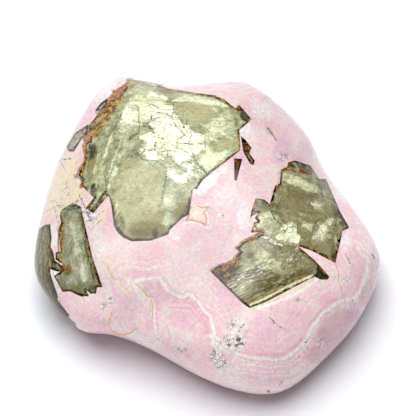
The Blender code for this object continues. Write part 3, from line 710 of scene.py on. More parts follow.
# The crystals' marks, in the same way.
LARGE_MARKS = {
    "murky": (
        spot(148, 230, 30, 16, 0, 1.0), spot(158, 220, 12, 14, 0, 0.6),
        line(5.0, 1.0, (111, 204), (113, 218), (117, 229), (124, 237), (134, 240.5), (150, 241.5),
            (162, 239)),
        line(4.0, 0.9, (164, 237), (178, 228), (187, 216), (190, 200)), spot(92, 165, 8, 26, 8, 0.7),
        spot(98, 132, 12, 10, -40, 0.6), spot(234, 112, 8, 6, 20, 0.4), spot(166, 90, 16, 6, 10, 0.8),
        spot(120, 222, 8, 22, -15, 0.8), spot(182, 212, 14, 18, 20, 0.8), spot(160, 216, 8, 12, 10, 0.6),
        spot(176, 196, 10, 12, 20, 0.4), spot(140, 214, 26, 10, 0, 0.35),
        line(2.0, 0.6, (118, 122), (106, 148), (98, 174)),
    ),
    "deep": (
        patch(1.5, 0.75, (122, 160), (135, 156), (150, 164), (165, 172), (166, 200), (160, 236),
            (128, 238), (118, 228), (114, 205), (120, 190), (120, 172)),
        patch(0.8, 0.9, (172, 107), (177, 102), (190, 103), (208, 106), (222, 107), (219, 113),
            (208, 121), (196, 128), (188, 122), (181, 115)),
        patch(1.0, 0.8, (158, 86), (170, 90), (181, 92), (176, 98), (166, 98), (160, 93)),
        patch(0.8, 0.9, (212, 144), (222, 139), (241, 141), (238, 148), (228, 152), (217, 151)),
        patch(1.5, 0.6, (228, 110), (242, 112), (240, 130), (233, 125)), spot(120, 200, 8, 10, 0, 0.3),
        spot(158, 214, 10, 12, 0, 0.7), spot(110, 185, 6, 18, 0, 0.5), spot(97, 170, 8, 16, 10, 0.7),
        spot(182, 208, 8, 14, 20, 0.6), spot(125, 165, 3, 14, 10, 0.4),
    ),
    "pale": (
        patch(2.0, 0.95, (120, 122), (124, 108), (130, 96), (140, 93), (158, 91), (168, 101), (164, 110),
            (150, 118), (144, 130), (134, 126), (126, 122)),
        patch(0.8, 0.9, (172, 101), (184, 95), (200, 96), (218, 101), (233, 107), (222, 107), (205, 104),
            (188, 102)),
        patch(2.0, 0.9, (205, 123), (222, 115), (232, 125), (237, 130), (236, 138), (224, 138),
            (212, 143), (206, 150), (200, 145), (203, 135)),
        patch(2.0, 0.8, (198, 160), (210, 151), (222, 153), (233, 154), (222, 161), (207, 172),
            (199, 180), (193, 172)),
        patch(3.0, 0.45, (168, 176), (184, 172), (188, 182), (180, 192), (172, 205), (168, 225),
            (160, 233), (165, 212), (162, 195)),
        spot(212, 112, 10, 8, 10, 0.4), line(3.0, 0.5, (120, 156), (115, 172), (110, 188)),
        patch(3.0, 0.9, (166, 166), (186, 170), (192, 178), (184, 186), (170, 184)),
        spot(126, 126, 12, 8, -40, 0.4), spot(117, 202, 2.5, 14, -5, 0.6),
        spot(118, 135, 10, 22, 25, 0.25), line(1.6, 0.6, (118, 122), (108, 146), (100, 170)),
        line(1.2, 0.5, (126, 128), (118, 150), (110, 172)),
        line(1.4, 0.5, (100, 150), (96, 168), (92, 184)), spot(160, 168, 24, 8, 15, 0.3),
    ),
    "bright": (
        patch(2.0, 0.9, (122, 118), (128, 108), (135, 105), (139, 112), (138, 120), (131, 122)),
        patch(2.0, 0.9, (150, 125), (163, 134), (172, 145), (172, 156), (164, 158), (157, 148),
            (153, 136)),
        patch(2.2, 0.9, (143, 135), (148, 130), (158, 133), (163, 140), (162, 150), (157, 158),
            (146, 157), (139, 154), (137, 149), (141, 141)),
        patch(2.4, 1.0, (141, 122), (146, 111), (156, 107), (170, 107), (176, 114), (184, 121),
            (190, 130), (200, 134), (203, 144), (197, 150), (191, 157), (195, 168), (190, 176),
            (180, 166), (170, 158), (164, 148), (160, 138), (152, 129), (145, 127)),
        patch(2.0, 0.7, (168, 166), (178, 166), (186, 174), (184, 181), (172, 182), (167, 174)),
        patch(2.5, 0.45, (169, 172), (184, 170), (190, 178), (184, 184), (172, 184)),
        spot(146, 101, 7, 5, 0, 0.4), line(1.6, 0.6, (146, 96), (158, 95), (166, 99)),
    ),
    "white": (
        patch(2.5, 0.9, (146, 112), (157, 106), (171, 108), (180, 118), (190, 128), (202, 135),
            (198, 148), (186, 146), (172, 138), (160, 131), (148, 124), (142, 118)),
        patch(1.5, 0.8, (170, 150), (180, 152), (190, 158), (196, 172), (190, 178), (178, 166),
            (168, 158)),
        spot(225, 153, 7, 5, -20, 1.0), spot(229, 151, 3, 2.5, 0, 1.0), spot(90, 199, 6, 5, 0, 0.9),
        spot(103, 186, 3, 5, 0, 0.5), spot(212, 112, 3, 2, 0, 0.5), spot(222, 118, 2, 2, 0, 0.5),
        spot(98, 132, 4, 5, 0, 0.6), spot(93, 180, 4, 3, 0, 0.5),
        line(0.8, 0.6, (100, 206), (106, 198), (110, 190)), line(1.0, 0.5, (183, 188), (196, 186)),
        spot(110, 175, 5, 3, -30, 0.5), spot(132, 214, 3, 3, 0, 0.4),
        line(0.8, 0.4, (150, 128), (160, 133), (170, 135)),
    ),
    "dark": (
        spot(90, 124, 3, 4, 0, 0.7), spot(136, 83, 6, 2, 5, 0.5),
        patch(2.0, 0.8, (87, 143), (97, 143), (99, 151), (94, 160), (88, 162)),
        line(2.4, 0.6, (86, 160), (84, 172), (83, 184)), spot(90, 168, 5, 12, 10, 0.4),
        patch(1.0, 0.75, (91, 183), (96, 181), (98, 190), (94, 197), (90, 192)),
        line(2.0, 0.8, (106, 192), (100, 200), (92, 210)), spot(100, 186, 5, 6, 0, 0.4),
        spot(98, 126, 5, 4, 0, 0.5), spot(92, 168, 4, 10, 0, 0.4),
        line(1.3, 0.8, (112, 205), (113, 215), (116, 226), (123, 235), (133, 239), (149, 239)),
        line(1.0, 0.6, (150, 238), (165, 233), (180, 218), (188, 212), (190, 198)),
        line(1.0, 0.7, (232, 106), (226, 103), (215, 97), (200, 94)), spot(140, 233, 22, 7, 5, 0.55),
        spot(122, 222, 5, 14, -20, 0.4), line(2.0, 0.5, (172, 226), (184, 212), (189, 200)),
        spot(156, 230, 6, 9, 0, 0.5),
        patch(2.0, 0.5, (158, 88), (172, 92), (186, 94), (180, 99), (166, 98)),
        line(2.2, 0.9, (112, 206), (114, 218), (118.5, 228), (125.5, 237), (134, 240), (150, 240.5),
            (162, 238.5)),
        line(1.8, 0.7, (164, 236), (178, 227), (186, 216), (189, 200)), spot(156, 233, 6, 8, 0, 0.8),
        spot(122, 219, 3, 8, -20, 0.6), spot(142, 231, 16, 5, 0, 0.4),
        line(1.0, 0.5, (110, 128), (100, 152), (95, 176)),
        line(0.9, 0.4, (122, 128), (112, 152), (104, 176)),
        line(0.8, 0.4, (128, 124), (120, 146), (113, 166)),
        line(2.6, 0.5, (111, 189), (103, 198), (95, 208)), spot(102, 190, 5, 4, 0, 0.5),
        spot(104, 148, 5, 8, 20, 0.3), spot(166, 86, 8, 3, 15, 0.5), spot(196, 172, 3, 6, 20, 0.4),
        spot(168, 92, 12, 3.5, 14, 0.45), line(1.2, 0.7, (198, 164), (203, 169), (206, 174)),
        line(0.8, 0.7, (196, 160), (200, 168)),
        patch(0.8, 0.85, (236, 109), (240, 105), (251, 119), (247, 123), (242, 121)),
        patch(0.8, 0.6, (232, 112), (240, 120), (238, 131), (234, 126)),
    ),
    "crack": (
        line(0.6, 0.9, (135, 104), (138, 110), (139, 118), (140, 126), (139, 134)),
        spot(138, 110, 1.4, 2, 0, 0.9), spot(146, 124, 5, 4, 20, 0.9), spot(116, 138, 6, 4, -20, 0.5),
        spot(133, 138, 6, 4, -30, 0.7), spot(171, 157, 3, 6, 0, 0.8), spot(170, 101, 12, 3, 10, 0.6),
        spot(164, 186, 3, 16, 0, 0.5), spot(199, 170, 6, 8, 30, 0.5), spot(182, 212, 6, 12, 20, 0.4),
        spot(105, 184, 4, 8, 10, 0.7),
        line(0.7, 0.8, (140, 122), (146, 125), (150, 129), (157, 134), (163, 138), (170, 143), (176, 147),
            (183, 150), (189, 155), (194, 161)),
        line(0.9, 1.0, (129, 140), (133, 136), (138, 134)), spot(131, 139, 3, 1.6, -30, 0.8),
        line(0.9, 0.9, (112, 146), (115, 142), (120, 140)), line(0.8, 0.8, (114, 134), (119, 135)),
        line(0.7, 0.8, (120, 133), (124, 136)),
        line(1.0, 0.9, (142, 127), (146, 124), (150, 127), (152, 130)),
        line(0.6, 0.8, (150, 104), (156, 107), (163, 110), (172, 109), (175, 114), (181, 120),
            (185, 128)),
        line(0.7, 0.8, (173, 103), (174, 111), (171, 118), (176, 126), (183, 133), (188, 138)),
        line(0.6, 0.7, (186, 120), (188, 128), (192, 135), (190, 142)),
        line(0.7, 0.8, (163, 146), (167, 151), (168, 158), (170, 165), (167, 172), (166, 182), (163, 190),
            (162, 200), (160, 206)),
        line(0.6, 0.8, (142, 148), (137, 154), (143, 160), (150, 161), (157, 162), (163, 166),
            (168, 169)),
        line(0.5, 0.7, (168, 158), (176, 165), (183, 170), (190, 176), (197, 181)),
        line(0.6, 0.6, (188, 140), (190, 148), (194, 154), (192, 160)),
        line(0.9, 0.9, (196, 163), (200, 167), (203, 171), (207, 175)),
        line(0.7, 0.8, (192, 152), (196, 160)), line(0.6, 0.7, (205, 138), (206, 146), (204, 153)),
        line(0.5, 0.6, (206, 124), (208, 133)), line(0.7, 0.6, (123, 170), (130, 167), (135, 170)),
        line(0.7, 0.9, (105, 176), (107, 184), (106, 192)),
        line(0.8, 0.8, (99, 180), (98, 190), (94, 200)),
        line(0.6, 0.8, (109, 178), (106, 190), (100, 204)),
        line(0.5, 0.5, (135, 153), (150, 164), (160, 172), (166, 172)),
        line(0.5, 0.5, (150, 120), (148, 126), (153, 131)),
        line(0.5, 0.5, (160, 108), (157, 114), (150, 117)),
        line(0.6, 0.6, (130, 97), (133, 95), (131, 101)),
        line(0.5, 0.5, (142, 94), (146, 99), (151, 101)),
        line(0.5, 0.6, (171, 118), (166, 124), (162, 131)),
        line(0.5, 0.6, (183, 133), (178, 137), (176, 147)),
        line(0.5, 0.5, (170, 143), (163, 146), (158, 151)),
        line(0.5, 0.5, (165, 206), (163, 216), (160, 226)),
        line(0.8, 0.8, (177, 222), (184, 214), (190, 206)), spot(186, 206, 3, 5, 10, 0.5),
        line(0.5, 0.4, (120, 168), (121, 190)), line(0.5, 0.5, (214, 139), (226, 136), (238, 134)),
        line(1.0, 0.8, (113, 214), (118, 228), (126, 237), (136, 240), (150, 240), (164, 236), (178, 227),
            (188, 210)),
        spot(184, 216, 6, 10, 25, 0.6), spot(150, 230, 12, 5, 0, 0.4), spot(172, 226, 6, 5, -20, 0.5),
    ),
    "brown": (
        patch(1.5, 0.95, (122, 92), (112, 101), (104, 110), (96, 117), (88, 126), (89, 140), (97, 140),
            (101, 130), (108, 124), (114, 116), (119, 106), (126, 97)),
        spot(96, 118, 12, 12, -40, 0.4),
        patch(1.0, 1.0, (85, 143), (89, 142), (88, 152), (87, 165), (84, 178), (86, 187), (82, 186),
            (84, 178), (79, 176), (82, 167), (86, 160)),
        patch(1.5, 0.9, (126, 87), (127, 79), (140, 79), (150, 82), (158, 86), (150, 88), (138, 85),
            (131, 89)),
        line(2.2, 0.8, (126, 87), (121, 96), (116, 101)), spot(122, 103, 8, 12, 30, 0.35),
        line(1.3, 0.9, (157, 85), (168, 89), (183, 91), (198, 94), (215, 96), (226, 101), (236, 110)),
        line(1.1, 0.8, (238, 131), (240, 143), (239, 151), (222, 163), (203, 179), (196, 189)),
        line(1.0, 0.25, (110, 197), (112, 206), (114, 220), (119, 232), (128, 238)),
        line(1.0, 0.6, (104, 199), (108, 195), (111, 197)), spot(241, 112, 5, 7, -30, 0.6),
        line(1.3, 0.8, (236, 108), (239, 105), (243, 108)), spot(155, 231, 4, 6, 0, 0.4),
    ),
    "streak": (
        spot(110, 140, 16, 40, 25, 0.7), spot(96, 170, 12, 24, 10, 0.5), spot(150, 190, 26, 30, 0, 0.25),
        spot(118, 215, 6, 22, 0, 0.7), spot(215, 105, 16, 6, 15, 0.5),
    ),
}
TWIN_MARKS = {
    "murky": (
        spot(230, 272, 22, 14, -25, 1.0), spot(292, 278, 34, 8, -27, 0.7),
        spot(326, 270, 14, 10, 20, 1.0), spot(268, 283, 26, 9, -28, 0.7), spot(250, 270, 20, 7, -28, 0.3),
        spot(338, 216, 6, 22, -28, 0.8), spot(333, 250, 6, 16, 0, 0.6), spot(300, 196, 26, 8, 20, 0.4),
        line(2.5, 0.7, (283, 172), (279, 184), (272, 196), (272, 206)), spot(322, 184, 10, 8, 20, 0.6),
    ),
    "deep": (
        spot(295, 204, 26, 20, 10, 0.9), spot(327, 250, 12, 14, -20, 0.8),
        spot(336, 214, 7, 20, -28, 0.9),
        patch(1.0, 0.8, (297, 224), (318, 222), (311, 240), (330, 242), (336, 250), (333, 260),
            (302, 245), (297, 243)),
        patch(2.0, 0.9, (243, 292), (262, 280), (290, 268), (312, 258), (318, 270), (290, 284),
            (262, 300), (250, 305)),
        patch(1.5, 0.7, (318, 183), (328, 184), (333, 198), (324, 196)), spot(272, 262, 20, 5, -22, 0.4),
        patch(1.5, 0.8, (253, 199), (264, 200), (270, 206), (259, 210), (251, 215)),
    ),
    "pale": (
        patch(2.0, 0.9, (272, 232), (284, 226), (297, 223), (297, 246), (284, 246), (270, 238)),
        spot(300, 216, 16, 5, 5, 0.35), spot(308, 230, 8, 16, 10, 0.4), spot(326, 196, 4, 10, -25, 0.4),
        spot(302, 227, 13, 10, 10, 0.5), spot(317, 240, 10, 7, -10, 0.4),
        line(1.4, 0.5, (300, 222), (302, 240)), spot(288, 214, 12, 5, 30, 0.3),
        patch(1.0, 0.95, (281, 171), (290, 174), (300, 178), (318, 187), (317, 193), (306, 192),
            (296, 186), (280, 180)),
        patch(1.5, 0.9, (259, 214), (268, 211), (285, 222), (296, 222), (297, 248), (283, 245),
            (270, 236), (257, 225)),
        patch(1.5, 0.85, (318, 223), (334, 217), (340, 220), (328, 229), (333, 237), (322, 240),
            (311, 240)),
        patch(5.0, 0.5, (238, 262), (262, 250), (288, 248), (300, 258), (284, 268), (262, 270),
            (240, 280)),
        spot(245, 288, 14, 6, -30, 0.4), spot(318, 206, 12, 6, 20, 0.5), spot(300, 232, 26, 14, 10, 0.3),
        line(2.0, 0.6, (330, 225), (334, 240), (336, 250)),
    ),
    "bright": (
        patch(2.0, 1.2, (274, 234), (284, 229), (296, 224), (297, 244), (286, 243), (273, 238)),
        spot(272, 224, 10, 6, 30, 0.5), patch(1.5, 0.6, (314, 232), (320, 223), (330, 222), (323, 237)),
        line(1.2, 0.6, (318, 222), (312, 238)), spot(286, 176, 6, 3, 10, 0.5),
    ),
    "white": (
        line(2.0, 1.0, (252, 227), (258, 233), (264, 236), (276, 243), (281, 245)),
        patch(1.2, 0.8, (222, 283), (232, 275), (246, 267), (256, 262), (258, 266), (248, 276),
            (236, 288), (230, 290)),
        patch(1.2, 0.7, (226, 288), (240, 280), (256, 270), (262, 272), (248, 284), (234, 294)),
        spot(262, 268, 12, 6, -30, 0.8), spot(290, 258, 12, 8, -30, 0.8), spot(276, 262, 16, 5, -30, 0.7),
        spot(310, 203, 14, 4, 22, 0.8), spot(312, 258, 8, 4, -35, 0.6), spot(302, 266, 6, 3, -35, 0.5),
        line(1.0, 0.8, (224, 284), (240, 276), (258, 266)),
        line(0.8, 0.8, (230, 292), (246, 284), (262, 275)),
        line(0.8, 0.7, (262, 262), (276, 256), (290, 252)), spot(315, 190, 5, 2, 20, 0.6),
        spot(240, 292, 10, 2, -30, 0.5), spot(324, 187, 3, 5, 0, 0.3), spot(284, 174, 5, 1.6, 10, 0.5),
        spot(318, 270, 5, 4, 0, 0.6), spot(270, 252, 14, 4, -10, 0.4), spot(305, 200, 8, 4, 10, 0.5),
        line(0.7, 0.5, (330, 228), (338, 243)), line(0.6, 0.5, (322, 236), (330, 226)),
    ),
    "dark": (
        patch(2.0, 0.85, (213, 271), (224, 266), (236, 263), (246, 262), (236, 272), (226, 284)),
        spot(248, 256, 10, 7, -30, 0.5), line(1.6, 0.6, (232, 288), (252, 280), (274, 268)),
        line(2.0, 0.6, (250, 296), (276, 284), (300, 270)),
        line(1.0, 0.6, (240, 276), (256, 268), (272, 262)),
        line(1.4, 0.9, (212, 272), (223, 282), (235, 294), (249, 306)),
        line(1.2, 0.8, (337, 210), (346, 226)), line(1.0, 0.7, (334, 261), (320, 254), (303, 246)),
        patch(1.0, 0.9, (313, 275), (316, 266), (323, 269), (328, 277), (320, 279)),
        line(1.0, 0.6, (250, 300), (266, 292), (290, 280), (312, 270)), spot(288, 196, 4, 3, 0, 0.5),
        spot(322, 274, 8, 5, 20, 0.7), spot(332, 240, 5, 18, -10, 0.4),
        patch(1.0, 0.8, (287, 168), (289, 163), (294, 163), (297, 170)),
        patch(0.8, 0.75, (294, 161), (311, 167), (313, 176), (300, 174)),
        line(1.0, 0.8, (283, 170), (280, 183), (274, 190), (271, 204)), spot(333, 256, 5, 6, 0, 0.7),
        line(0.7, 0.6, (297, 224), (296, 244)), line(0.6, 0.5, (245, 277), (262, 265), (278, 258)),
        line(1.0, 0.6, (318, 183), (323, 196), (333, 200)),
        line(0.7, 0.7, (228, 286), (240, 276), (256, 266)),
        line(0.6, 0.5, (236, 292), (262, 277), (290, 262)), spot(218, 270, 6, 4, -20, 0.6),
        line(0.8, 0.5, (318, 186), (310, 193), (296, 186)),
    ),
    "crack": (
        line(0.9, 1.0, (270, 211), (274, 217), (279, 224), (285, 231)), spot(264, 204, 4, 3.5, 0, 1.0),
        line(0.8, 0.8, (268, 208), (277, 213), (283, 222)), spot(322, 277, 5, 2, 0, 0.6),
        line(1.8, 1.3, (252, 306.5), (264, 301.5), (277, 296), (292, 288.5), (306, 280.5)),
        line(0.6, 0.5, (299, 196), (308, 200)), line(0.8, 0.6, (250, 262), (262, 258), (275, 256)),
        line(0.7, 0.5, (262, 272), (264, 266)), spot(270, 208, 6, 3, 20, 0.5),
    ),
    "brown": (
        line(2.4, 1.0, (236, 248), (243, 243), (250, 241), (262, 234)),
        line(1.8, 0.9, (251, 232), (262, 230)),
        line(1.8, 0.9, (252, 216), (258, 212), (256, 218), (258, 222)),
        line(1.6, 0.9, (255, 199), (252, 208), (250, 216)),
        line(2.0, 0.9, (241, 252), (236, 257), (234, 262), (220, 266), (212, 270)),
        patch(2.0, 0.65, (213, 270), (222, 264), (234, 261), (242, 261), (235, 272), (225, 283)),
        line(2.2, 0.9, (213, 270), (222, 265), (234, 261.5), (240, 258)),
        line(1.6, 0.9, (280, 171), (279, 183), (274, 190), (271, 203)),
        line(1.4, 0.9, (280, 170), (292, 170), (303, 174)),
        line(1.6, 0.9, (296, 245), (303, 250), (310, 256), (318, 266), (325, 274)),
        line(1.3, 0.8, (296, 244), (306, 247), (320, 254), (334, 261)),
        line(1.0, 0.6, (340, 232), (338, 246), (336, 254)), spot(288, 167, 4, 4, 0, 0.7),
        spot(268, 206, 3, 5, 0, 0.3), spot(245, 246, 8, 5, -20, 0.4),
        line(0.8, 0.8, (250, 301.5), (270, 291), (290, 281), (311, 271.5)), spot(276, 188, 4, 3, 0, 0.4),
        patch(1.0, 0.5, (294, 161), (311, 167), (313, 176), (300, 174)),
        line(0.9, 0.6, (312, 171), (319, 180), (326, 181)),
    ),
    "rust": (spot(303, 172.5, 8, 2.2, 18, 1.0), spot(308, 174, 4, 2.5, 0, 0.8)),
    "cream": (line(1.5, 1.0, (250, 304), (270, 294.5), (290, 284.5), (311, 274.5)),),
    "streak": (
        spot(262, 280, 60, 28, -27, 1.0), spot(325, 232, 16, 16, -28, 0.7),
        spot(290, 186, 20, 8, 20, 0.5),
    ),
}
BLADE_MARKS = {
    "murky": (
        line(4.0, 0.8, (85, 212), (90, 240), (98, 270), (102, 288)), spot(74, 288, 18, 8, 10, 0.5),
        spot(63, 232, 5, 16, 0, 0.9), spot(69, 270, 8, 9, 0, 0.9),
        line(2.4, 0.8, (81, 214), (84.5, 234), (88, 254), (95, 276)),
    ),
    "deep": (
        line(5, 0.7, (83, 215), (90, 245), (98, 272)), spot(80, 290, 12, 6, 10, 0.6),
        spot(66, 240, 4, 14, 0, 0.4),
    ),
    "pale": (line(5, 0.7, (74, 222), (78, 250), (86, 278)), spot(80, 240, 5, 16, -8, 0.4)),
    "white": (
        line(0.9, 0.5, (77, 230), (80, 252), (84, 268)), spot(95, 286, 4, 2, 0, 0.5),
        spot(72, 207, 4, 1.5, 0, 0.4),
    ),
    "dark": (
        line(2.4, 0.9, (84, 212), (89, 238), (96, 266), (103, 286)), line(1.4, 0.8, (62, 232), (62, 248)),
        line(1.2, 0.6, (86, 226), (90, 248), (96, 270)), spot(66, 214, 5, 8, 20, 0.5),
        spot(70, 290, 8, 4, 0, 0.6), line(1.6, 0.8, (66, 289), (78, 293), (86, 294)),
        spot(94, 286, 6, 5, 0, 0.6), spot(62, 285, 3, 6, 0, 0.5),
        line(0.8, 0.6, (89, 240), (93, 262), (98, 278)), spot(76, 208, 8, 4, 0, 0.6),
        line(1.5, 0.65, (81.5, 214), (84.5, 234), (88, 252), (92, 268), (96, 280)),
        spot(63, 232, 3, 12, 0, 0.5), spot(69, 271, 6, 6, 0, 0.6), line(1.0, 0.5, (60, 242), (62, 252)),
    ),
    "crack": (
        spot(76, 209, 14, 6, 0, 0.7), spot(82, 218, 5, 8, 0, 0.6), line(0.7, 0.5, (84, 236), (88, 256)),
        spot(92, 288, 8, 6, 0, 0.6), line(1.2, 0.6, (86, 222), (90, 240)),
    ),
    "brown": (
        line(2.0, 0.8, (62, 222), (61, 236), (62, 250)), spot(61, 257, 7, 6, 0, 0.7),
        spot(71, 267, 8, 9, 0, 0.65), spot(74, 219, 10, 6, 0, 0.65), spot(64, 226, 6, 8, 0, 0.6),
        line(1.8, 0.9, (58, 260), (66, 270), (56, 274)), line(1.3, 0.7, (86, 224), (92, 252), (97, 268)),
        spot(80, 213, 3, 3, 0, 0.4),
    ),
    "streak": (spot(82, 250, 26, 56, -10, 0.6),),
}
EDGE_MARKS = {
    "deep": (spot(58, 300, 12, 30, -35, 0.8), line(4, 0.5, (52, 232), (50, 250), (52, 275))),
    "pale": (spot(44, 250, 8, 28, 5, 0.6), line(2, 0.4, (46, 232), (42, 262), (50, 290))),
    "dark": (
        line(2.0, 0.8, (51, 229), (51, 246), (54, 256), (63, 267)),
        line(3, 0.7, (60, 306), (70, 322), (78, 330)), line(1.4, 0.8, (50, 272), (54, 288), (57, 298)),
        line(1.2, 0.6, (40, 228), (50, 224)),
    ),
    "crack": (spot(62, 304, 6, 12, -35, 0.5),),
    "brown": (spot(52, 262, 6, 10, 0, 0.6), spot(52, 236, 2.5, 6, 0, 0.5), spot(48, 268, 3, 4, 0, 0.5)),
    "streak": (spot(48, 265, 30, 60, 8, 1.0),),
}
RIM_MARKS = {
    "deep": (spot(76, 140, 12, 10, 0, 0.3),),
    "pale": (spot(76, 142, 4, 7, 35, 0.5), spot(101, 107, 3, 4, 30, 0.4)),
    "dark": (
        line(1.6, 0.9, (67, 146), (75, 133), (84, 127), (89, 125)),
        line(1.5, 0.9, (68, 150), (75, 150), (80, 142), (88, 133)),
        line(1.4, 0.9, (95, 113), (100, 105), (107, 100)),
        line(1.4, 0.9, (97, 114), (103, 112), (108, 104)), spot(84, 131, 5, 4, -20, 0.8),
    ),
    "brown": (spot(86, 130, 5, 5, 0, 0.8), spot(74, 146, 5, 5, 0, 0.3), spot(106, 104, 4, 4, 0, 0.5)),
    "streak": (spot(80, 138, 40, 40, 0, 0.5),),
}
SLIVER_MARKS = {
    "dark": (
        patch(0.8, 1.0, (238, 141), (245, 139), (251, 148), (247, 153)),
        line(1.2, 0.8, (247, 152), (254, 161), (252, 165)), line(1.0, 0.7, (244, 152), (250, 162)),
        spot(237, 164, 5, 20, 0, 0.5),
    ),
    "pale": (spot(242, 139.5, 3, 2, 20, 0.8), line(1.4, 0.5, (246, 153), (252, 162))),
    "brown": (
        patch(1.0, 0.9, (238, 141), (245, 139), (251, 148), (247, 153)),
        line(1.2, 0.8, (239, 137), (244, 140)), spot(238, 168, 6, 16, 0, 1.0),
    ),
    "streak": (spot(245, 150, 20, 20, 0, 0.5),),
}
MARKS = {
    "large_green_crystal": LARGE_MARKS,
    "twin_green_crystal": TWIN_MARKS,
    "left_blade_crystal": BLADE_MARKS,
    "left_edge_crystal": EDGE_MARKS,
    "lower_rim_crystal": RIM_MARKS,
    "upper_rim_crystal": RIM_MARKS,
    "dark_sliver_crystal": SLIVER_MARKS,
    "brown_wedge_crystal": SLIVER_MARKS,
}


def nearest_on(points, places):
    """Each point's distance to a line through the places, its side and how far along it lies."""
    places = np.array(places, float)
    best = np.full(len(points), np.inf)
    side = np.ones(len(points))
    along = np.zeros(len(points))
    start = 0.0
    for a, b in zip(places[:-1], places[1:]):
        step = b - a
        length = np.hypot(*step)
        share = np.clip((points - a) @ step / length**2, 0.0, 1.0)
        gap = points - a - share[:, None] * step
        distance = np.hypot(*gap.T)
        closer = distance < best
        turn = step[0] * (points[:, 1] - a[1]) - step[1] * (points[:, 0] - a[0])
        best = np.where(closer, distance, best)
        side = np.where(closer, np.where(turn < 0, -1.0, 1.0), side)
        along = np.where(closer, start + share * length, along)
        start += length
    return best, side, along


def inside(points, places):
    """Whether each point lies inside the closed outline through the places."""
    places = np.array(places, float)
    x, y = points.T
    within = np.zeros(len(points), bool)
    for a, b in zip(places, np.roll(places, -1, axis=0)):
        if a[1] != b[1]:
            crossing = a[0] + (y - a[1]) * (b[0] - a[0]) / (b[1] - a[1])
            within ^= ((a[1] > y) != (b[1] > y)) & (x < crossing)
    return within


def smooth(share):
    """A share from 0 to 1 that starts and ends gently."""
    share = np.clip(share, 0.0, 1.0)
    return share * share * (3 - 2 * share)


def mark_strength(points, mark):
    """How strongly one mark colours each point."""
    kind = mark[0]
    if kind == "spot":
        x, y, rx, ry, turn, strength = mark[1:]
        cosine, sine = math.cos(math.radians(turn)), math.sin(math.radians(turn))
        dx, dy = (points - (x, y)).T
        reach = np.hypot((dx * cosine + dy * sine) / rx, (dy * cosine - dx * sine) / ry)
        return strength * smooth(FADE * (1 - reach))
    width, strength, places = mark[1:]
    if kind == "line":
        distance = nearest_on(points, places)[0]
        return strength * smooth(FADE * (1 - distance / (width + LINE_FRINGE)))
    distance = nearest_on(points, places + places[:1])[0]
    signed = np.where(inside(points, places), distance, -distance)
    return strength * smooth(0.5 + signed / (2 * width))


def mark_bounds(mark):
    """The box that a mark stays within, as its low x and y and its high x and y."""
    if mark[0] == "spot":
        x, y, rx, ry = mark[1:5]
        reach = max(rx, ry)
        return x - reach, y - reach, x + reach, y + reach
    places, margin = np.array(mark[3]), mark[1] + MARK_MARGIN
    return *(places.min(axis=0) - margin), *(places.max(axis=0) + margin)


def value_noise(points, size, seed):
    """Smooth random values from -1 to 1 over the picture, a new one at each step of the size."""
    table = np.random.default_rng(seed).uniform(-1, 1, (RANDOM_TABLE, RANDOM_TABLE))
    cell = points / size
    low = np.floor(cell).astype(int)
    share = smooth(cell - low)
    columns, rows = low.T
    corners = [
        table[(rows + dy) % RANDOM_TABLE, (columns + dx) % RANDOM_TABLE]
        for dy in (0, 1) for dx in (0, 1)
    ]
    top = corners[0] + (corners[1] - corners[0]) * share[:, 0]
    bottom = corners[2] + (corners[3] - corners[2]) * share[:, 0]
    return top + (bottom - top) * share[:, 1]


def warped(points, reach):
    """The points moved a little, so drawn lines and edges waver."""
    moves = [
        value_noise(points, COARSE_WAVER, seed) + 0.5 * value_noise(points, FINE_WAVER, seed + 1)
        for seed in WAVER_SEEDS
    ]
    return points + np.stack(moves, axis=1) * reach


def set_values(mesh, name, values):
    """Stores a value at every vertex, for the material to read."""
    layer = mesh.attributes.new(name, "FLOAT", "POINT")
    layer.data.foreach_set("value", values.astype(np.float32))


def front_share(v, w):
    """1 on the front of the stone and 0 behind, with a soft step round the rim."""
    lean, half_depth = face_section()
    return smooth(0.5 + (w - lean * v) / half_depth * RIM_FADE)


def paint(mesh, marks, waver):
    """Stores how strongly each of the marks' colours lies on every vertex.

    Gives back the vertices' wavering places in the picture.
    """
    u, v, w = face_coordinates(mesh).T
    points = np.array(FACE_MIDDLE_PX) + np.stack([u, -v], axis=1) * PX_PER_MM
    front = front_share(v, w)
    moved = warped(points, waver)
    x, y = moved.T
    for name, layer in marks.items():
        values = np.zeros(len(points))
        for mark in layer:
            x0, y0, x1, y1 = mark_bounds(mark)
            near = (x > x0) & (x < x1) & (y > y0) & (y < y1)
            if near.any():
                values[near] = np.maximum(values[near], mark_strength(moved[near], mark))
        set_values(mesh, name, values * front)
    return moved


def paint_depth(mesh):
    """Stores how far in front each vertex lies, and how far under the polished face."""
    u, v, w = face_coordinates(mesh).T
    set_values(mesh, "front", front_share(v, w))
    set_values(mesh, "under_face", face_height(u, v) - w)


def paint_growth(mesh, points):
    """Stores the distance to the nearest growth band, how far along it each vertex lies, and painted
    shade.
    """
    found = [nearest_on(points, guide) for guide in GUIDES]
    nearest = np.argmin([distance for distance, side, along in found], axis=0)
    rows = np.arange(len(points))
    distance, side, along = (np.array(values)[nearest, rows] for values in zip(*found))
    set_values(mesh, "growth", distance * side / PX_PER_MM)
    set_values(mesh, "along", (along + BAND_SHIFT * nearest) / PX_PER_MM)
    # Painted shade: darker pink round the middle of the face, where the studio light is strongest.
    reach = np.hypot(*(points - PAINTED_SHADE_MIDDLE).T)
    set_values(mesh, "painted_shade", 1 - smooth((reach - PAINTED_SHADE_WITHIN) / (UNSHADED_BEYOND - PAINTED_SHADE_WITHIN)))


def paint_outline(mesh, outline):
    """Stores each vertex's distance from its crystal's outline."""
    points = face_coordinates(mesh)[:, :2]
    closed = list(outline) + [outline[0]]
    set_values(mesh, "inward", nearest_on(points, closed)[0])


# ---- materials -----------------------------------------------------------------------------

def linear(share):
    """A display value from 0 to 1 as linear light, by the sRGB curve."""
    return ((share + 0.055) / 1.055) ** 2.4 if share > 0.04045 else share / 12.92


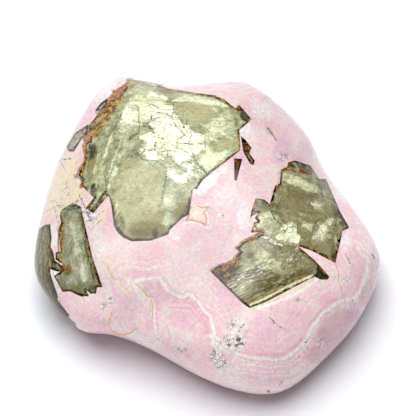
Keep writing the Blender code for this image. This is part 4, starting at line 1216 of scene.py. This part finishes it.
def tone(*display):
    """A surface colour from the display colour, in 255ths, that it takes under the studio light."""
    lit = [linear(value / 255) - GLOSS_GLOW for value in display]
    return (*[min(max(value, DARKEST) / FACE_LIGHT, LIGHTEST) for value in lit], 1.0)


class Recipe:
    """Lays out one material's nodes."""

    def __init__(self, name):
        self.material = bpy.data.materials.new(name)
        self.material.use_nodes = True
        self.tree = self.material.node_tree
        self.shader = self.tree.nodes["Principled BSDF"]
        self.output = self.tree.nodes["Material Output"]
        place = self.add("ShaderNodeTexCoord").outputs["Object"]
        scaled = self.add("ShaderNodeVectorMath", operation="SCALE")
        self.tree.links.new(place, scaled.inputs[0])
        scaled.inputs["Scale"].default_value = 1 / MM
        self.place = scaled.outputs[0]

    def add(self, kind, **settings):
        """A new node with its settings."""
        node = self.tree.nodes.new(kind)
        for key, value in settings.items():
            setattr(node, key, value)
        return node

    def feed(self, socket, value):
        """Links a socket to a node's output or sets it to a value."""
        if isinstance(value, bpy.types.NodeSocket):
            self.tree.links.new(value, socket)
        else:
            socket.default_value = value

    def set(self, node, **values):
        """Sets a node's own inputs, named with underscores for their spaces."""
        for key, value in values.items():
            node.inputs[key.replace("_", " ")].default_value = value

    def attribute(self, name):
        """A value stored at the vertices."""
        return self.add("ShaderNodeAttribute", attribute_name=name).outputs["Fac"]

    def math(self, operation, a, b=0.0, clamp=False):
        """One arithmetic step on two values."""
        node = self.add("ShaderNodeMath", operation=operation, use_clamp=clamp)
        self.feed(node.inputs[0], a)
        self.feed(node.inputs[1], b)
        return node.outputs[0]

    def times(self, a, b):
        """The product of two values."""
        return self.math("MULTIPLY", a, b)

    def vector(self, operation, a, b):
        """One arithmetic step on two vectors."""
        node = self.add("ShaderNodeVectorMath", operation=operation)
        self.feed(node.inputs[0], a)
        self.feed(node.inputs[1], b)
        return node.outputs[0]

    def noise(self, scale, detail=3.0, roughness=0.55, distortion=0.0, place=None):
        """Noise with its scale in cycles to a millimetre."""
        node = self.add("ShaderNodeTexNoise")
        self.feed(node.inputs["Vector"], self.place if place is None else place)
        self.set(node, Scale=scale, Detail=detail, Roughness=roughness, Distortion=distortion)
        return node.outputs["Fac"]

    def noise_along(self, position, scale, detail, roughness):
        """Noise that changes in one direction only."""
        node = self.add("ShaderNodeTexNoise", noise_dimensions="1D")
        self.feed(node.inputs["W"], position)
        self.set(node, Scale=scale, Detail=detail, Roughness=roughness)
        return node.outputs["Fac"]

    def along(self, direction):
        """How far every point lies along a direction, in millimetres."""
        node = self.add("ShaderNodeVectorMath", operation="DOT_PRODUCT")
        self.feed(node.inputs[0], self.place)
        node.inputs[1].default_value = direction
        return node.outputs["Value"]

    def turned(self, degrees, stretch):
        """Places in the face's axes, turned in its plane and drawn out along the first of them."""
        u, v, w = (np.array(axis) for axis in FACE_AXES)
        cosine, sine = math.cos(math.radians(degrees)), math.sin(math.radians(degrees))
        node = self.add("ShaderNodeCombineXYZ")
        self.feed(node.inputs[0], self.along((cosine * u + sine * v) / stretch))
        self.feed(node.inputs[1], self.along(cosine * v - sine * u))
        self.feed(node.inputs[2], self.along(w))
        return node.outputs[0]

    def wavy(self, place, scale, reach):
        """The place moved about by noise."""
        node = self.add("ShaderNodeTexNoise")
        self.feed(node.inputs["Vector"], place)
        node.inputs["Scale"].default_value = scale
        moved = self.vector("SUBTRACT", node.outputs["Color"], (0.5, 0.5, 0.5))
        return self.vector("ADD", place, self.vector("MULTIPLY", moved, (reach, reach, reach)))

    def facets(self, scale, place):
        """A random value for each cell of a broken crystal's cleavage."""
        node = self.add("ShaderNodeTexVoronoi", feature="F1", distance="CHEBYCHEV")
        self.feed(node.inputs["Vector"], place)
        self.set(node, Scale=scale, Randomness=FACET_DISORDER)
        parts = self.add("ShaderNodeSeparateColor")
        self.feed(parts.inputs[0], node.outputs["Color"])
        return parts.outputs[0]

    def seams(self, scale, place, width):
        """Thin lines between random cells; the width is in millimetres."""
        node = self.add("ShaderNodeTexVoronoi", feature="DISTANCE_TO_EDGE")
        self.feed(node.inputs["Vector"], place)
        node.inputs["Scale"].default_value = scale
        return self.rise(node.outputs["Distance"], width * scale, SEAM_CORE * width * scale)

    def blend(self, share, a, b):
        """From one value to another by a share."""
        node = self.add("ShaderNodeMix", data_type="FLOAT")
        for socket, value in (("Factor", share), ("A", a), ("B", b)):
            self.feed(node.inputs[socket], value)
        return node.outputs["Result"]

    def mix(self, factor, a, b, blend="MIX"):
        """From one colour to another by a factor."""
        node = self.add("ShaderNodeMix", data_type="RGBA", blend_type=blend)
        for socket, value in (("Factor", factor), ("A", a), ("B", b)):
            self.feed(node.inputs[socket], value)
        return node.outputs["Result"]

    def shaded(self, colour, brightness):
        """A colour times a brightness."""
        return self.mix(1.0, colour, brightness, "MULTIPLY")

    def weigh(self, *shares):
        """The sum of values, each times its own weight."""
        total = None
        for value, weight in shares:
            part = self.times(value, weight)
            total = part if total is None else self.math("ADD", total, part)
        return total

    def rise(self, value, low, high, to_low=0.0, to_high=1.0):
        """A smooth step: what is low comes out as to_low, and what is high as to_high."""
        node = self.add("ShaderNodeMapRange", interpolation_type="SMOOTHSTEP")
        self.feed(node.inputs["Value"], value)
        self.set(node, From_Min=low, From_Max=high, To_Min=to_low, To_Max=to_high)
        return node.outputs[0]

    def ramp(self, value, *stops):
        """Colours by value, from stops that are a position and a colour each."""
        node = self.add("ShaderNodeValToRGB")
        self.feed(node.inputs["Fac"], value)
        elements = node.color_ramp.elements
        while len(elements) < len(stops):
            elements.new(0.5)
        for element, (position, colour) in zip(elements, stops):
            element.position = position
            element.color = colour
        return node.outputs["Color"]

    def ragged(self, mask, noise, depth, low, high):
        """A mask whose edge the noise breaks up."""
        lifted = self.math("MULTIPLY_ADD", noise, depth)
        lifted.node.inputs[2].default_value = -0.5 * depth
        present = self.rise(mask, 0.0, FAINTEST_MARK)
        return self.rise(self.math("ADD", mask, self.times(lifted, present)), low, high)

    def polish(self, roughness, height, bump):
        """The surface's roughness and its fine relief, in millimetres."""
        self.feed(self.shader.inputs["Roughness"], roughness)
        node = self.add("ShaderNodeBump")
        self.set(node, Distance=bump * MM, Strength=1.0)
        self.feed(node.inputs["Height"], height)
        self.tree.links.new(node.outputs["Normal"], self.shader.inputs["Normal"])


def calcite_material():
    """Pink calcite: cloudy pinks, growth bands and their fibres, the face's marks and painted shade."""
    recipe = Recipe("pink calcite")
    cloud = recipe.noise(0.085, distortion=0.6)
    mottle = recipe.noise(0.38, detail=4.0, roughness=0.62, distortion=0.4)
    fine = recipe.noise(1.1, detail=4.0, roughness=0.65)
    grain = recipe.noise(2.2, roughness=0.6)
    shade = recipe.weigh((cloud, 0.45), (mottle, 0.40), (grain, 0.15))
    colour = recipe.ramp(
        shade, (0.37, PINK["pale"]), (0.44, PINK["light"]), (0.51, PINK["middle"]),
        (0.60, PINK["deep"]),
    )
    colour = calcite_growth(recipe, colour, mottle)
    colour = calcite_veins(recipe, colour)
    flecks = recipe.noise(2.2, roughness=0.7)
    colour = calcite_marks(recipe, colour, mottle, fine, flecks)
    colour = calcite_speckle(recipe, colour, mottle)
    clouded, flecked = recipe.rise(cloud, 0.5, 0.6), recipe.rise(flecks, 0.68, 0.74, to_high=0.5)
    colour = recipe.mix(recipe.times(clouded, flecked), colour, PINK["grey"])
    dark = recipe.ragged(recipe.attribute("dark"), flecks, depth=2.6, low=0.6, high=1.05)
    colour = recipe.mix(recipe.times(dark, 0.85), colour, PINK["dark"])
    colour = calcite_pockets(recipe, colour, mottle)
    detail = recipe.weigh((mottle, 0.4), (fine, 0.6))
    colour = recipe.shaded(colour, recipe.rise(detail, 0.35, 0.62, 0.86, 1.08))
    # Painted shade: the pink darkens round the middle of the face, where the studio light is strongest.
    painted_shade = recipe.rise(recipe.attribute("painted_shade"), 0.0, 1.0, 1.0, PAINTED_SHADE_SHARE)
    colour = recipe.shaded(colour, painted_shade)
    recipe.feed(recipe.shader.inputs["Base Color"], colour)
    recipe.set(
        recipe.shader, IOR=CALCITE_IOR, Specular_IOR_Level=CALCITE_GLOSS,
        Subsurface_Weight=GLOW_WEIGHT, Subsurface_Radius=GLOW_COLOUR, Subsurface_Scale=GLOW_REACH,
    )
    recipe.polish(recipe.rise(fine, 0.3, 0.75, *CALCITE_ROUGHNESS), grain, CALCITE_RELIEF)
    return recipe.material


def calcite_growth(recipe, colour, mottle):
    """Layers beside the growth bands, and fibres that cross them."""
    growth = recipe.attribute("growth")
    banded = recipe.rise(recipe.math("ABSOLUTE", growth), 13.0, 3.0)
    layered = recipe.weigh((growth, 1.0), (mottle, 1.4))
    layers = recipe.noise_along(layered, 0.85, detail=4.0, roughness=0.75)
    crossed = recipe.weigh((recipe.attribute("along"), 1.0), (mottle, 1.2))
    fibres = recipe.noise_along(crossed, 1.7, detail=3.0, roughness=0.7)
    for values, low, high, strength, tint in (
        (layers, 0.52, 0.62, 0.75, "pale"), (layers, 0.48, 0.37, 0.65, "rose"),
        (fibres, 0.54, 0.68, 0.4, "light"), (fibres, 0.46, 0.32, 0.5, "lilac"),
    ):
        share = recipe.times(recipe.rise(values, low, high, to_high=strength), banded)
        colour = recipe.mix(share, colour, PINK[tint])
    return colour


def calcite_veins(recipe, colour):
    """Thin veins where a noise passes its middle."""
    for scale, width, strength, tint in (
        (0.16, 0.010, 0.7, "pale"), (0.42, 0.013, 0.6, "pale"), (0.9, 0.022, 0.5, "pale"),
        (0.25, 0.007, 0.5, "mauve"), (0.6, 0.012, 0.4, "dusky"),
    ):
        noise = recipe.noise(scale, detail=4.0, roughness=0.6, distortion=0.8)
        vein = recipe.math("ABSOLUTE", recipe.math("SUBTRACT", noise, 0.5))
        colour = recipe.mix(recipe.rise(vein, width, 0.0, to_high=strength), colour, PINK[tint])
    return colour


def calcite_marks(recipe, colour, mottle, fine, flecks):
    """The marks' colours, each with a noise, its depth and the step that break up its edge."""
    soft, middle, hard = (mottle, 0.8, 0.1, 0.9), (fine, 0.9, 0.2, 0.8), (fine, 0.8, 0.3, 0.8)
    browns = recipe.ramp(fine, (0.40, PINK["dark"]), (0.5, PINK["brown"]), (0.62, PINK["tan"]))
    broken = (fine, 1.6, 0.35, 0.9)
    # The dusky layer is mostly painted shade, and part of the white one is painted highlight.
    for name, style, strength in (
        ("lilac", soft, 0.7), ("rose", soft, 0.75), ("cream", middle, 0.8), ("salmon", middle, 0.6),
        ("white", middle, 0.8), ("band", middle, 0.8), ("grey", hard, 0.45), ("mauve", middle, 0.4),
        ("tan", broken, 0.75), ("orange", broken, 0.9), ("brown", (fine, 1.6, 0.4, 0.8), 0.85),
        ("green", (flecks, 1.6, 0.35, 0.8), 0.85), ("dusky", soft, 0.6),
    ):
        share = recipe.times(recipe.ragged(recipe.attribute(name), *style), strength)
        colour = recipe.mix(share, colour, browns if name == "brown" else PINK[name])
    return colour


def calcite_speckle(recipe, colour, mottle):
    """Broken ground: white and grey chips with dark seams between them."""
    speckle = recipe.attribute("speckle")
    chips = recipe.noise(1.2, roughness=0.65, distortion=0.5)
    whites = recipe.times(speckle, recipe.rise(chips, 0.48, 0.56, to_high=0.85))
    colour = recipe.mix(whites, colour, PINK["white"])
    muds = recipe.times(speckle, recipe.rise(chips, 0.46, 0.38, to_high=0.55))
    colour = recipe.mix(muds, colour, PINK["grey"])
    large = recipe.seams(0.42, recipe.wavy(recipe.place, 0.5, reach=1.0), width=0.14)
    small = recipe.seams(0.8, recipe.wavy(recipe.place, 0.9, reach=1.2), width=0.13)
    seams = recipe.math("MAXIMUM", large, recipe.times(small, 0.6))
    darks = recipe.times(seams, recipe.rise(mottle, 0.46, 0.56, to_high=0.9))
    return recipe.mix(recipe.times(speckle, darks), colour, PINK["fleck"])


def calcite_pockets(recipe, colour, mottle):
    """The stained walls of the crystals' pockets, from just below the face."""
    pocket = recipe.rise(recipe.attribute("under_face"), 0.05, 0.25)
    stain = recipe.mix(recipe.rise(mottle, 0.4, 0.6), PINK["stain"], PINK["pocket"])
    depth = recipe.rise(recipe.attribute("under_face"), 1.5, 4.0)
    stain = recipe.mix(depth, stain, PINK["pocket"])
    in_front = recipe.rise(recipe.attribute("front"), 0.3, 0.9)
    return recipe.mix(recipe.times(pocket, in_front), colour, stain)


def crystal_material(name, tones, gloss, clear, streak_turn, splinter_turn):
    """Green calcite: clear in its depths, cloudy where it is cracked, stained at its walls."""
    recipe = Recipe(name)
    noises = crystal_noises(recipe, splinter_turn)
    fine, mottle, splinters = noises["fine"], noises["mottle"], noises["splinters"]
    streaks = recipe.noise(1.7, 5.0, 0.75, 0.2, recipe.turned(streak_turn, stretch=11.0))
    streaked = recipe.rise(recipe.attribute("streak"), 0.0, 1.0, to_low=0.08)
    strands = recipe.blend(streaked, fine, streaks)
    shade = recipe.weigh((noises["cloud"], 0.45), (mottle, 0.30), (strands, 0.25))
    colour = recipe.ramp(shade, (0.40, tones["low"]), (0.5, tones["base"]), (0.60, tones["high"]))
    noises["stain"] = recipe.weigh((streaks, 0.25), (noises["patches"], 0.55), (fine, 0.2))
    colour, masks, cloudy = crystal_marks(recipe, colour, tones, noises)
    lights = recipe.times(streaked, recipe.rise(streaks, 0.52, 0.61, to_high=0.8))
    colour = recipe.mix(lights, colour, tones["high"])
    shadows = recipe.times(streaked, recipe.rise(streaks, 0.48, 0.38, to_high=0.7))
    colour = recipe.mix(shadows, colour, tones["low"])
    broken = recipe.math("MAXIMUM", masks["bright"], recipe.times(masks["pale"], 0.5))
    cells = recipe.weigh((noises["plates"], 0.6), (noises["steps"], 0.4))
    cells = recipe.blend(broken, 0.5, cells)
    detail = recipe.weigh((cells, 0.3), (strands, 0.3), (fine, 0.2), (mottle, 0.2))
    colour = recipe.shaded(colour, recipe.rise(detail, 0.37, 0.63, 0.72, 1.22))
    glinting = recipe.rise(splinters, 0.56, 0.63, to_high=0.8)
    glints = recipe.times(recipe.math("ADD", broken, 0.06), glinting)
    colour = recipe.mix(glints, colour, tones["white"])
    colour = crystal_cracks(recipe, colour, tones["crack"], noises, broken, splinter_turn)
    colour = crystal_rim(recipe, colour, tones, noises, masks)
    recipe.feed(recipe.shader.inputs["Base Color"], colour)
    clearness = recipe.rise(cloudy, 0.0, 0.7, clear, LEAST_CLEAR * clear)
    recipe.feed(recipe.shader.inputs["Transmission Weight"], clearness)
    recipe.set(recipe.shader, IOR=CRYSTAL_IOR, Specular_IOR_Level=gloss)
    recipe.polish(recipe.rise(mottle, 0.3, 0.7, *CRYSTAL_ROUGHNESS), noises["grain"], CRYSTAL_RELIEF)
    absorption = recipe.add("ShaderNodeVolumeAbsorption")
    recipe.set(absorption, Color=CRYSTAL_TINT, Density=CRYSTAL_DENSITY)
    recipe.tree.links.new(absorption.outputs[0], recipe.output.inputs["Volume"])
    return recipe.material


def crystal_noises(recipe, turn):
    """The noises that a crystal's colours are broken up by; its splinters run one way."""
    drawn = recipe.wavy(recipe.turned(turn, stretch=1.8), 0.25, reach=0.8)
    plates = recipe.facets(0.36, drawn)
    splinters = recipe.noise(1.9, 4.0, 0.75, 0.3, recipe.turned(turn, stretch=7.0))
    return {
        "cloud": recipe.noise(0.14, distortion=0.5),
        "patches": recipe.noise(0.42, detail=4.0, roughness=0.62, distortion=0.6),
        "mottle": recipe.noise(0.6, detail=4.0, roughness=0.65, distortion=0.3),
        "fine": recipe.noise(1.6, detail=4.0, roughness=0.7),
        "grain": recipe.noise(3.2, detail=2.0, roughness=0.6),
        "plates": plates,
        "steps": recipe.facets(1.0, drawn),
        "splinters": splinters,
        "cleaved": recipe.weigh((plates, 0.45), (splinters, 0.55)),
    }


def crystal_marks(recipe, colour, tones, noises):
    """The marks' colours. Also gives back their masks and how cloudy they make the crystal."""
    browns = recipe.ramp(
        noises["stain"], (0.43, tones["dark"]), (0.48, tones["brown"]), (0.53, tones["tan"]),
        (0.58, tones["low"]),
    )
    masks = {}
    cloudy = 0.0
    for layer, noise, depth, low, high, strength, veil in (
        ("deep", "mottle", 0.9, 0.15, 0.95, 0.7, 0.0),
        ("murky", "mottle", 0.9, 0.15, 0.95, 0.8, 0.3),
        ("pale", "cleaved", 1.6, 0.15, 0.95, 0.65, 0.5),
        ("bright", "cleaved", 2.6, 0.35, 0.65, 0.85, 1.0),
        ("white", "splinters", 4.0, 0.8, 1.3, 0.95, 1.0),
        ("dark", "fine", 1.5, 0.35, 0.9, 0.95, 0.3),
        ("brown", "stain", 2.4, 0.3, 0.9, 0.9, 0.8),
        ("rust", "fine", 1.5, 0.35, 0.9, 0.75, 0.5),
        ("cream", "fine", 1.5, 0.35, 0.9, 0.85, 1.0),
        ("crack", "grain", 4.0, 0.5, 1.0, 0.9, 0.5),
    ):
        masks[layer] = recipe.ragged(recipe.attribute(layer), noises[noise], depth, low, high)
        share = recipe.times(masks[layer], strength)
        colour = recipe.mix(share, colour, browns if layer == "brown" else tones[layer])
        if veil:
            cloudy = recipe.math("MAXIMUM", cloudy, recipe.times(masks[layer], veil))
    return colour, masks, cloudy


def crystal_cracks(recipe, colour, crack, noises, broken, turn):
    """A coarse and a fine web of cracks, mostly where the crystal is broken."""
    dots = recipe.rise(noises["grain"], 0.42, 0.52)
    for scale, stretch, width, strength in ((0.17, 1.6, 0.22, 0.95), (0.36, 2.2, 0.14, 0.55)):
        web = recipe.seams(scale, recipe.wavy(recipe.turned(turn, stretch), 0.4, reach=1.2), width)
        patchy = recipe.rise(noises["mottle"], 0.42, 0.52, to_high=strength)
        web = recipe.times(recipe.times(web, dots), patchy)
        colour = recipe.mix(recipe.times(recipe.math("ADD", broken, 0.12), web), colour, crack)
    return colour


def crystal_rim(recipe, colour, tones, noises, masks):
    """The ragged dark and brown line round the crystal."""
    inward = recipe.attribute("inward")
    reach = recipe.weigh((inward, 1.0), (noises["mottle"], 3.0), (noises["fine"], 1.6))
    strength = recipe.rise(noises["cloud"], 0.38, 0.55, to_low=0.8)
    rim = recipe.times(recipe.rise(reach, 2.85, 2.4), strength)
    covered = recipe.math("MAXIMUM", masks["cream"], masks["crack"])
    clean = recipe.math("SUBTRACT", 1.0, covered, clamp=True)
    rusty = recipe.mix(recipe.rise(noises["patches"], 0.46, 0.57), tones["dark"], tones["brown"])
    return recipe.mix(recipe.times(rim, clean), colour, rusty)


def floor_material():
    """Pale paper, a little cool."""
    recipe = Recipe("floor")
    paper = recipe.ramp(recipe.noise(0.8, detail=2.0), (0.3, PAPER_LOW), (0.7, PAPER_HIGH))
    recipe.feed(recipe.shader.inputs["Base Color"], paper)
    recipe.shader.inputs["Roughness"].default_value = FLOOR_ROUGHNESS
    return recipe.material


# The colours by name, as they look in the picture.

def palette(**colours):
    """Surface colours by name."""
    return {name: tone(*colour) for name, colour in colours.items()}


# The dusky pink colours veins and is also laid on as painted shade.
PINK = palette(
    pale=(253, 233, 227), light=(249, 221, 217), middle=(240, 203, 208), deep=(230, 186, 198),
    rose=(231, 180, 195), lilac=(222, 184, 206), cream=(242, 223, 190), dusky=(204, 170, 180),
    salmon=(240, 204, 186), white=(255, 249, 244), band=(255, 244, 232), grey=(172, 166, 152),
    mauve=(206, 152, 180), tan=(196, 150, 98), orange=(222, 172, 92), fleck=(84, 92, 68),
    dark=(56, 54, 38), green=(84, 98, 76), brown=(150, 98, 48), stain=(140, 100, 56),
    pocket=(252, 246, 222),
)
GREEN = palette(
    low=(145, 150, 122), base=(184, 187, 152), high=(215, 219, 185), deep=(197, 190, 145),
    pale=(229, 233, 193), bright=(246, 251, 203), white=(255, 255, 250), dark=(66, 60, 24),
    brown=(124, 84, 36), tan=(180, 142, 88), rust=(130, 62, 44), cream=(240, 226, 190),
    crack=(26, 66, 34), murky=(122, 110, 64),
)
OLIVE = GREEN | palette(
    low=(126, 121, 91), base=(164, 159, 124), high=(196, 195, 160), deep=(156, 148, 112),
    pale=(218, 219, 181), bright=(246, 247, 206), dark=(54, 42, 20), brown=(128, 76, 26),
    crack=(60, 96, 54), murky=(88, 78, 46),
)
GREY_GREEN = GREEN | palette(
    low=(132, 134, 110), base=(162, 164, 138), high=(192, 194, 168), deep=(130, 126, 100),
    pale=(196, 198, 172), dark=(58, 56, 38), crack=(40, 78, 56),
)
SHADED = GREY_GREEN | palette(
    low=(97, 93, 68), base=(126, 119, 90), high=(156, 150, 120), deep=(84, 80, 60),
    pale=(136, 132, 108), crack=(60, 76, 60),
)
DARK = GREEN | palette(
    low=(84, 68, 42), base=(112, 94, 64), high=(150, 134, 100), dark=(46, 30, 14),
    pale=(160, 150, 116), brown=(96, 66, 36), tan=(128, 100, 64),
)

# Each crystal's slot and material, its tones, gloss and clearness, and the ways that its streaks
# and its splinters run, in degrees.
GREEN_LOOK = ("green_crystal", "green crystal", GREEN, 0.2, 0.32, 66, -40)
OLIVE_LOOK = ("green_crystal", "olive crystal", OLIVE, 0.2, 0.35, 25, 30)
SHADED_LOOK = ("grey_green_crystal", "shaded crystal", SHADED, 0.12, 0.25, -82, -70)
GREY_GREEN_LOOK = ("grey_green_crystal", "grey-green crystal", GREY_GREEN, 0.2, 0.25, -78, -60)
DARK_LOOK = ("dark_crystal", "dark crystal", DARK, 0.2, 0.2, 60, 60)
LOOKS = {
    "large_green_crystal": GREEN_LOOK,
    "twin_green_crystal": OLIVE_LOOK,
    "left_edge_crystal": SHADED_LOOK,
    "left_blade_crystal": GREY_GREEN_LOOK,
    "lower_rim_crystal": GREY_GREEN_LOOK,
    "upper_rim_crystal": GREY_GREEN_LOOK,
    "dark_sliver_crystal": DARK_LOOK,
    "brown_wedge_crystal": DARK_LOOK,
}


# ---- camera, light and floor ---------------------------------------------------------------

def add_camera():
    """Looks straight at the face from far off, with the face's middle where the picture has it."""
    data = bpy.data.cameras.new("camera")
    data.sensor_width = SENSOR
    data.lens = CAMERA_DISTANCE / MM * SENSOR / (PICTURE_SIDE / PX_PER_MM)
    data.clip_end = CAMERA_REACH
    camera = linked("camera", data)
    across, down = np.array(FACE_MIDDLE_PX) - PICTURE_SIDE / 2
    aim = np.array([(-across, down, 0.0)]) / PX_PER_MM
    out = Vector(FACE_AXES[2])
    camera.location = Vector(placed(aim)[0]) + out * CAMERA_DISTANCE
    camera.rotation_euler = out.to_track_quat("Z", "Y").to_euler()
    bpy.context.scene.camera = camera


def add_light(name, place, width, height, power):
    """A soft light that faces the stone."""
    data = bpy.data.lights.new(name, "AREA")
    data.shape = "ELLIPSE"
    data.size = width
    data.size_y = height
    data.energy = power
    light = linked(name, data)
    light.location = place
    light.rotation_euler = Vector(place).to_track_quat("Z", "Y").to_euler()


def add_sky():
    """A plain white studio, brighter near the horizon than overhead."""
    world = bpy.data.worlds.new("studio")
    world.use_nodes = True
    tree = world.node_tree
    way = tree.nodes.new("ShaderNodeTexCoord")
    parts = tree.nodes.new("ShaderNodeSeparateXYZ")
    level = tree.nodes.new("ShaderNodeMapRange")
    tree.links.new(way.outputs["Generated"], parts.inputs[0])
    tree.links.new(parts.outputs["Z"], level.inputs["Value"])
    level.interpolation_type = "SMOOTHSTEP"
    level.inputs["From Max"].default_value = SKY_BAND
    level.inputs["To Min"].default_value = SKY_LOW
    level.inputs["To Max"].default_value = SKY_HIGH
    tree.links.new(level.outputs[0], tree.nodes["Background"].inputs["Strength"])
    bpy.context.scene.world = world


def add_stage():
    """The floor, the lights and the way that the picture shows colours."""
    shape = bmesh.new()
    bmesh.ops.create_grid(shape, x_segments=1, y_segments=1, size=FLOOR_REACH)
    floor = mesh_object("floor", shape)
    floor.data.materials.append(floor_material())
    add_sky()
    add_light("softbox", SOFTBOX_PLACE, SOFTBOX_SIZE, SOFTBOX_SIZE, SOFTBOX_POWER)
    add_light("strip", STRIP_PLACE, STRIP_WIDTH, STRIP_HEIGHT, STRIP_POWER)
    bpy.context.scene.view_settings.view_transform = "Standard"


def dress(made, node, material):
    """Gives a piece its material, and says what it rides on and replaces."""
    made.data.materials.clear()
    made.data.materials.append(material)
    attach(made, "root")
    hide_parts(node)


def main():
    """Makes the stone, gives every piece its looks, and adds the studio."""
    matrix, crystals = grow_stone()
    paint_growth(matrix.data, paint(matrix.data, CALCITE_MARKS, CALCITE_WAVER))
    paint_depth(matrix.data)
    dress(matrix, "pink_calcite", calcite_material())
    made_materials = {}
    for name, made in crystals.items():
        slot, title, *look = LOOKS[name]
        if title not in made_materials:
            made_materials[title] = crystal_material(title, *look)
        paint(made.data, MARKS[name], CRYSTAL_WAVER)
        paint_outline(made.data, CRYSTALS[name]["outline"])
        dress(made, name, made_materials[title])
    add_camera()
    add_stage()


main()
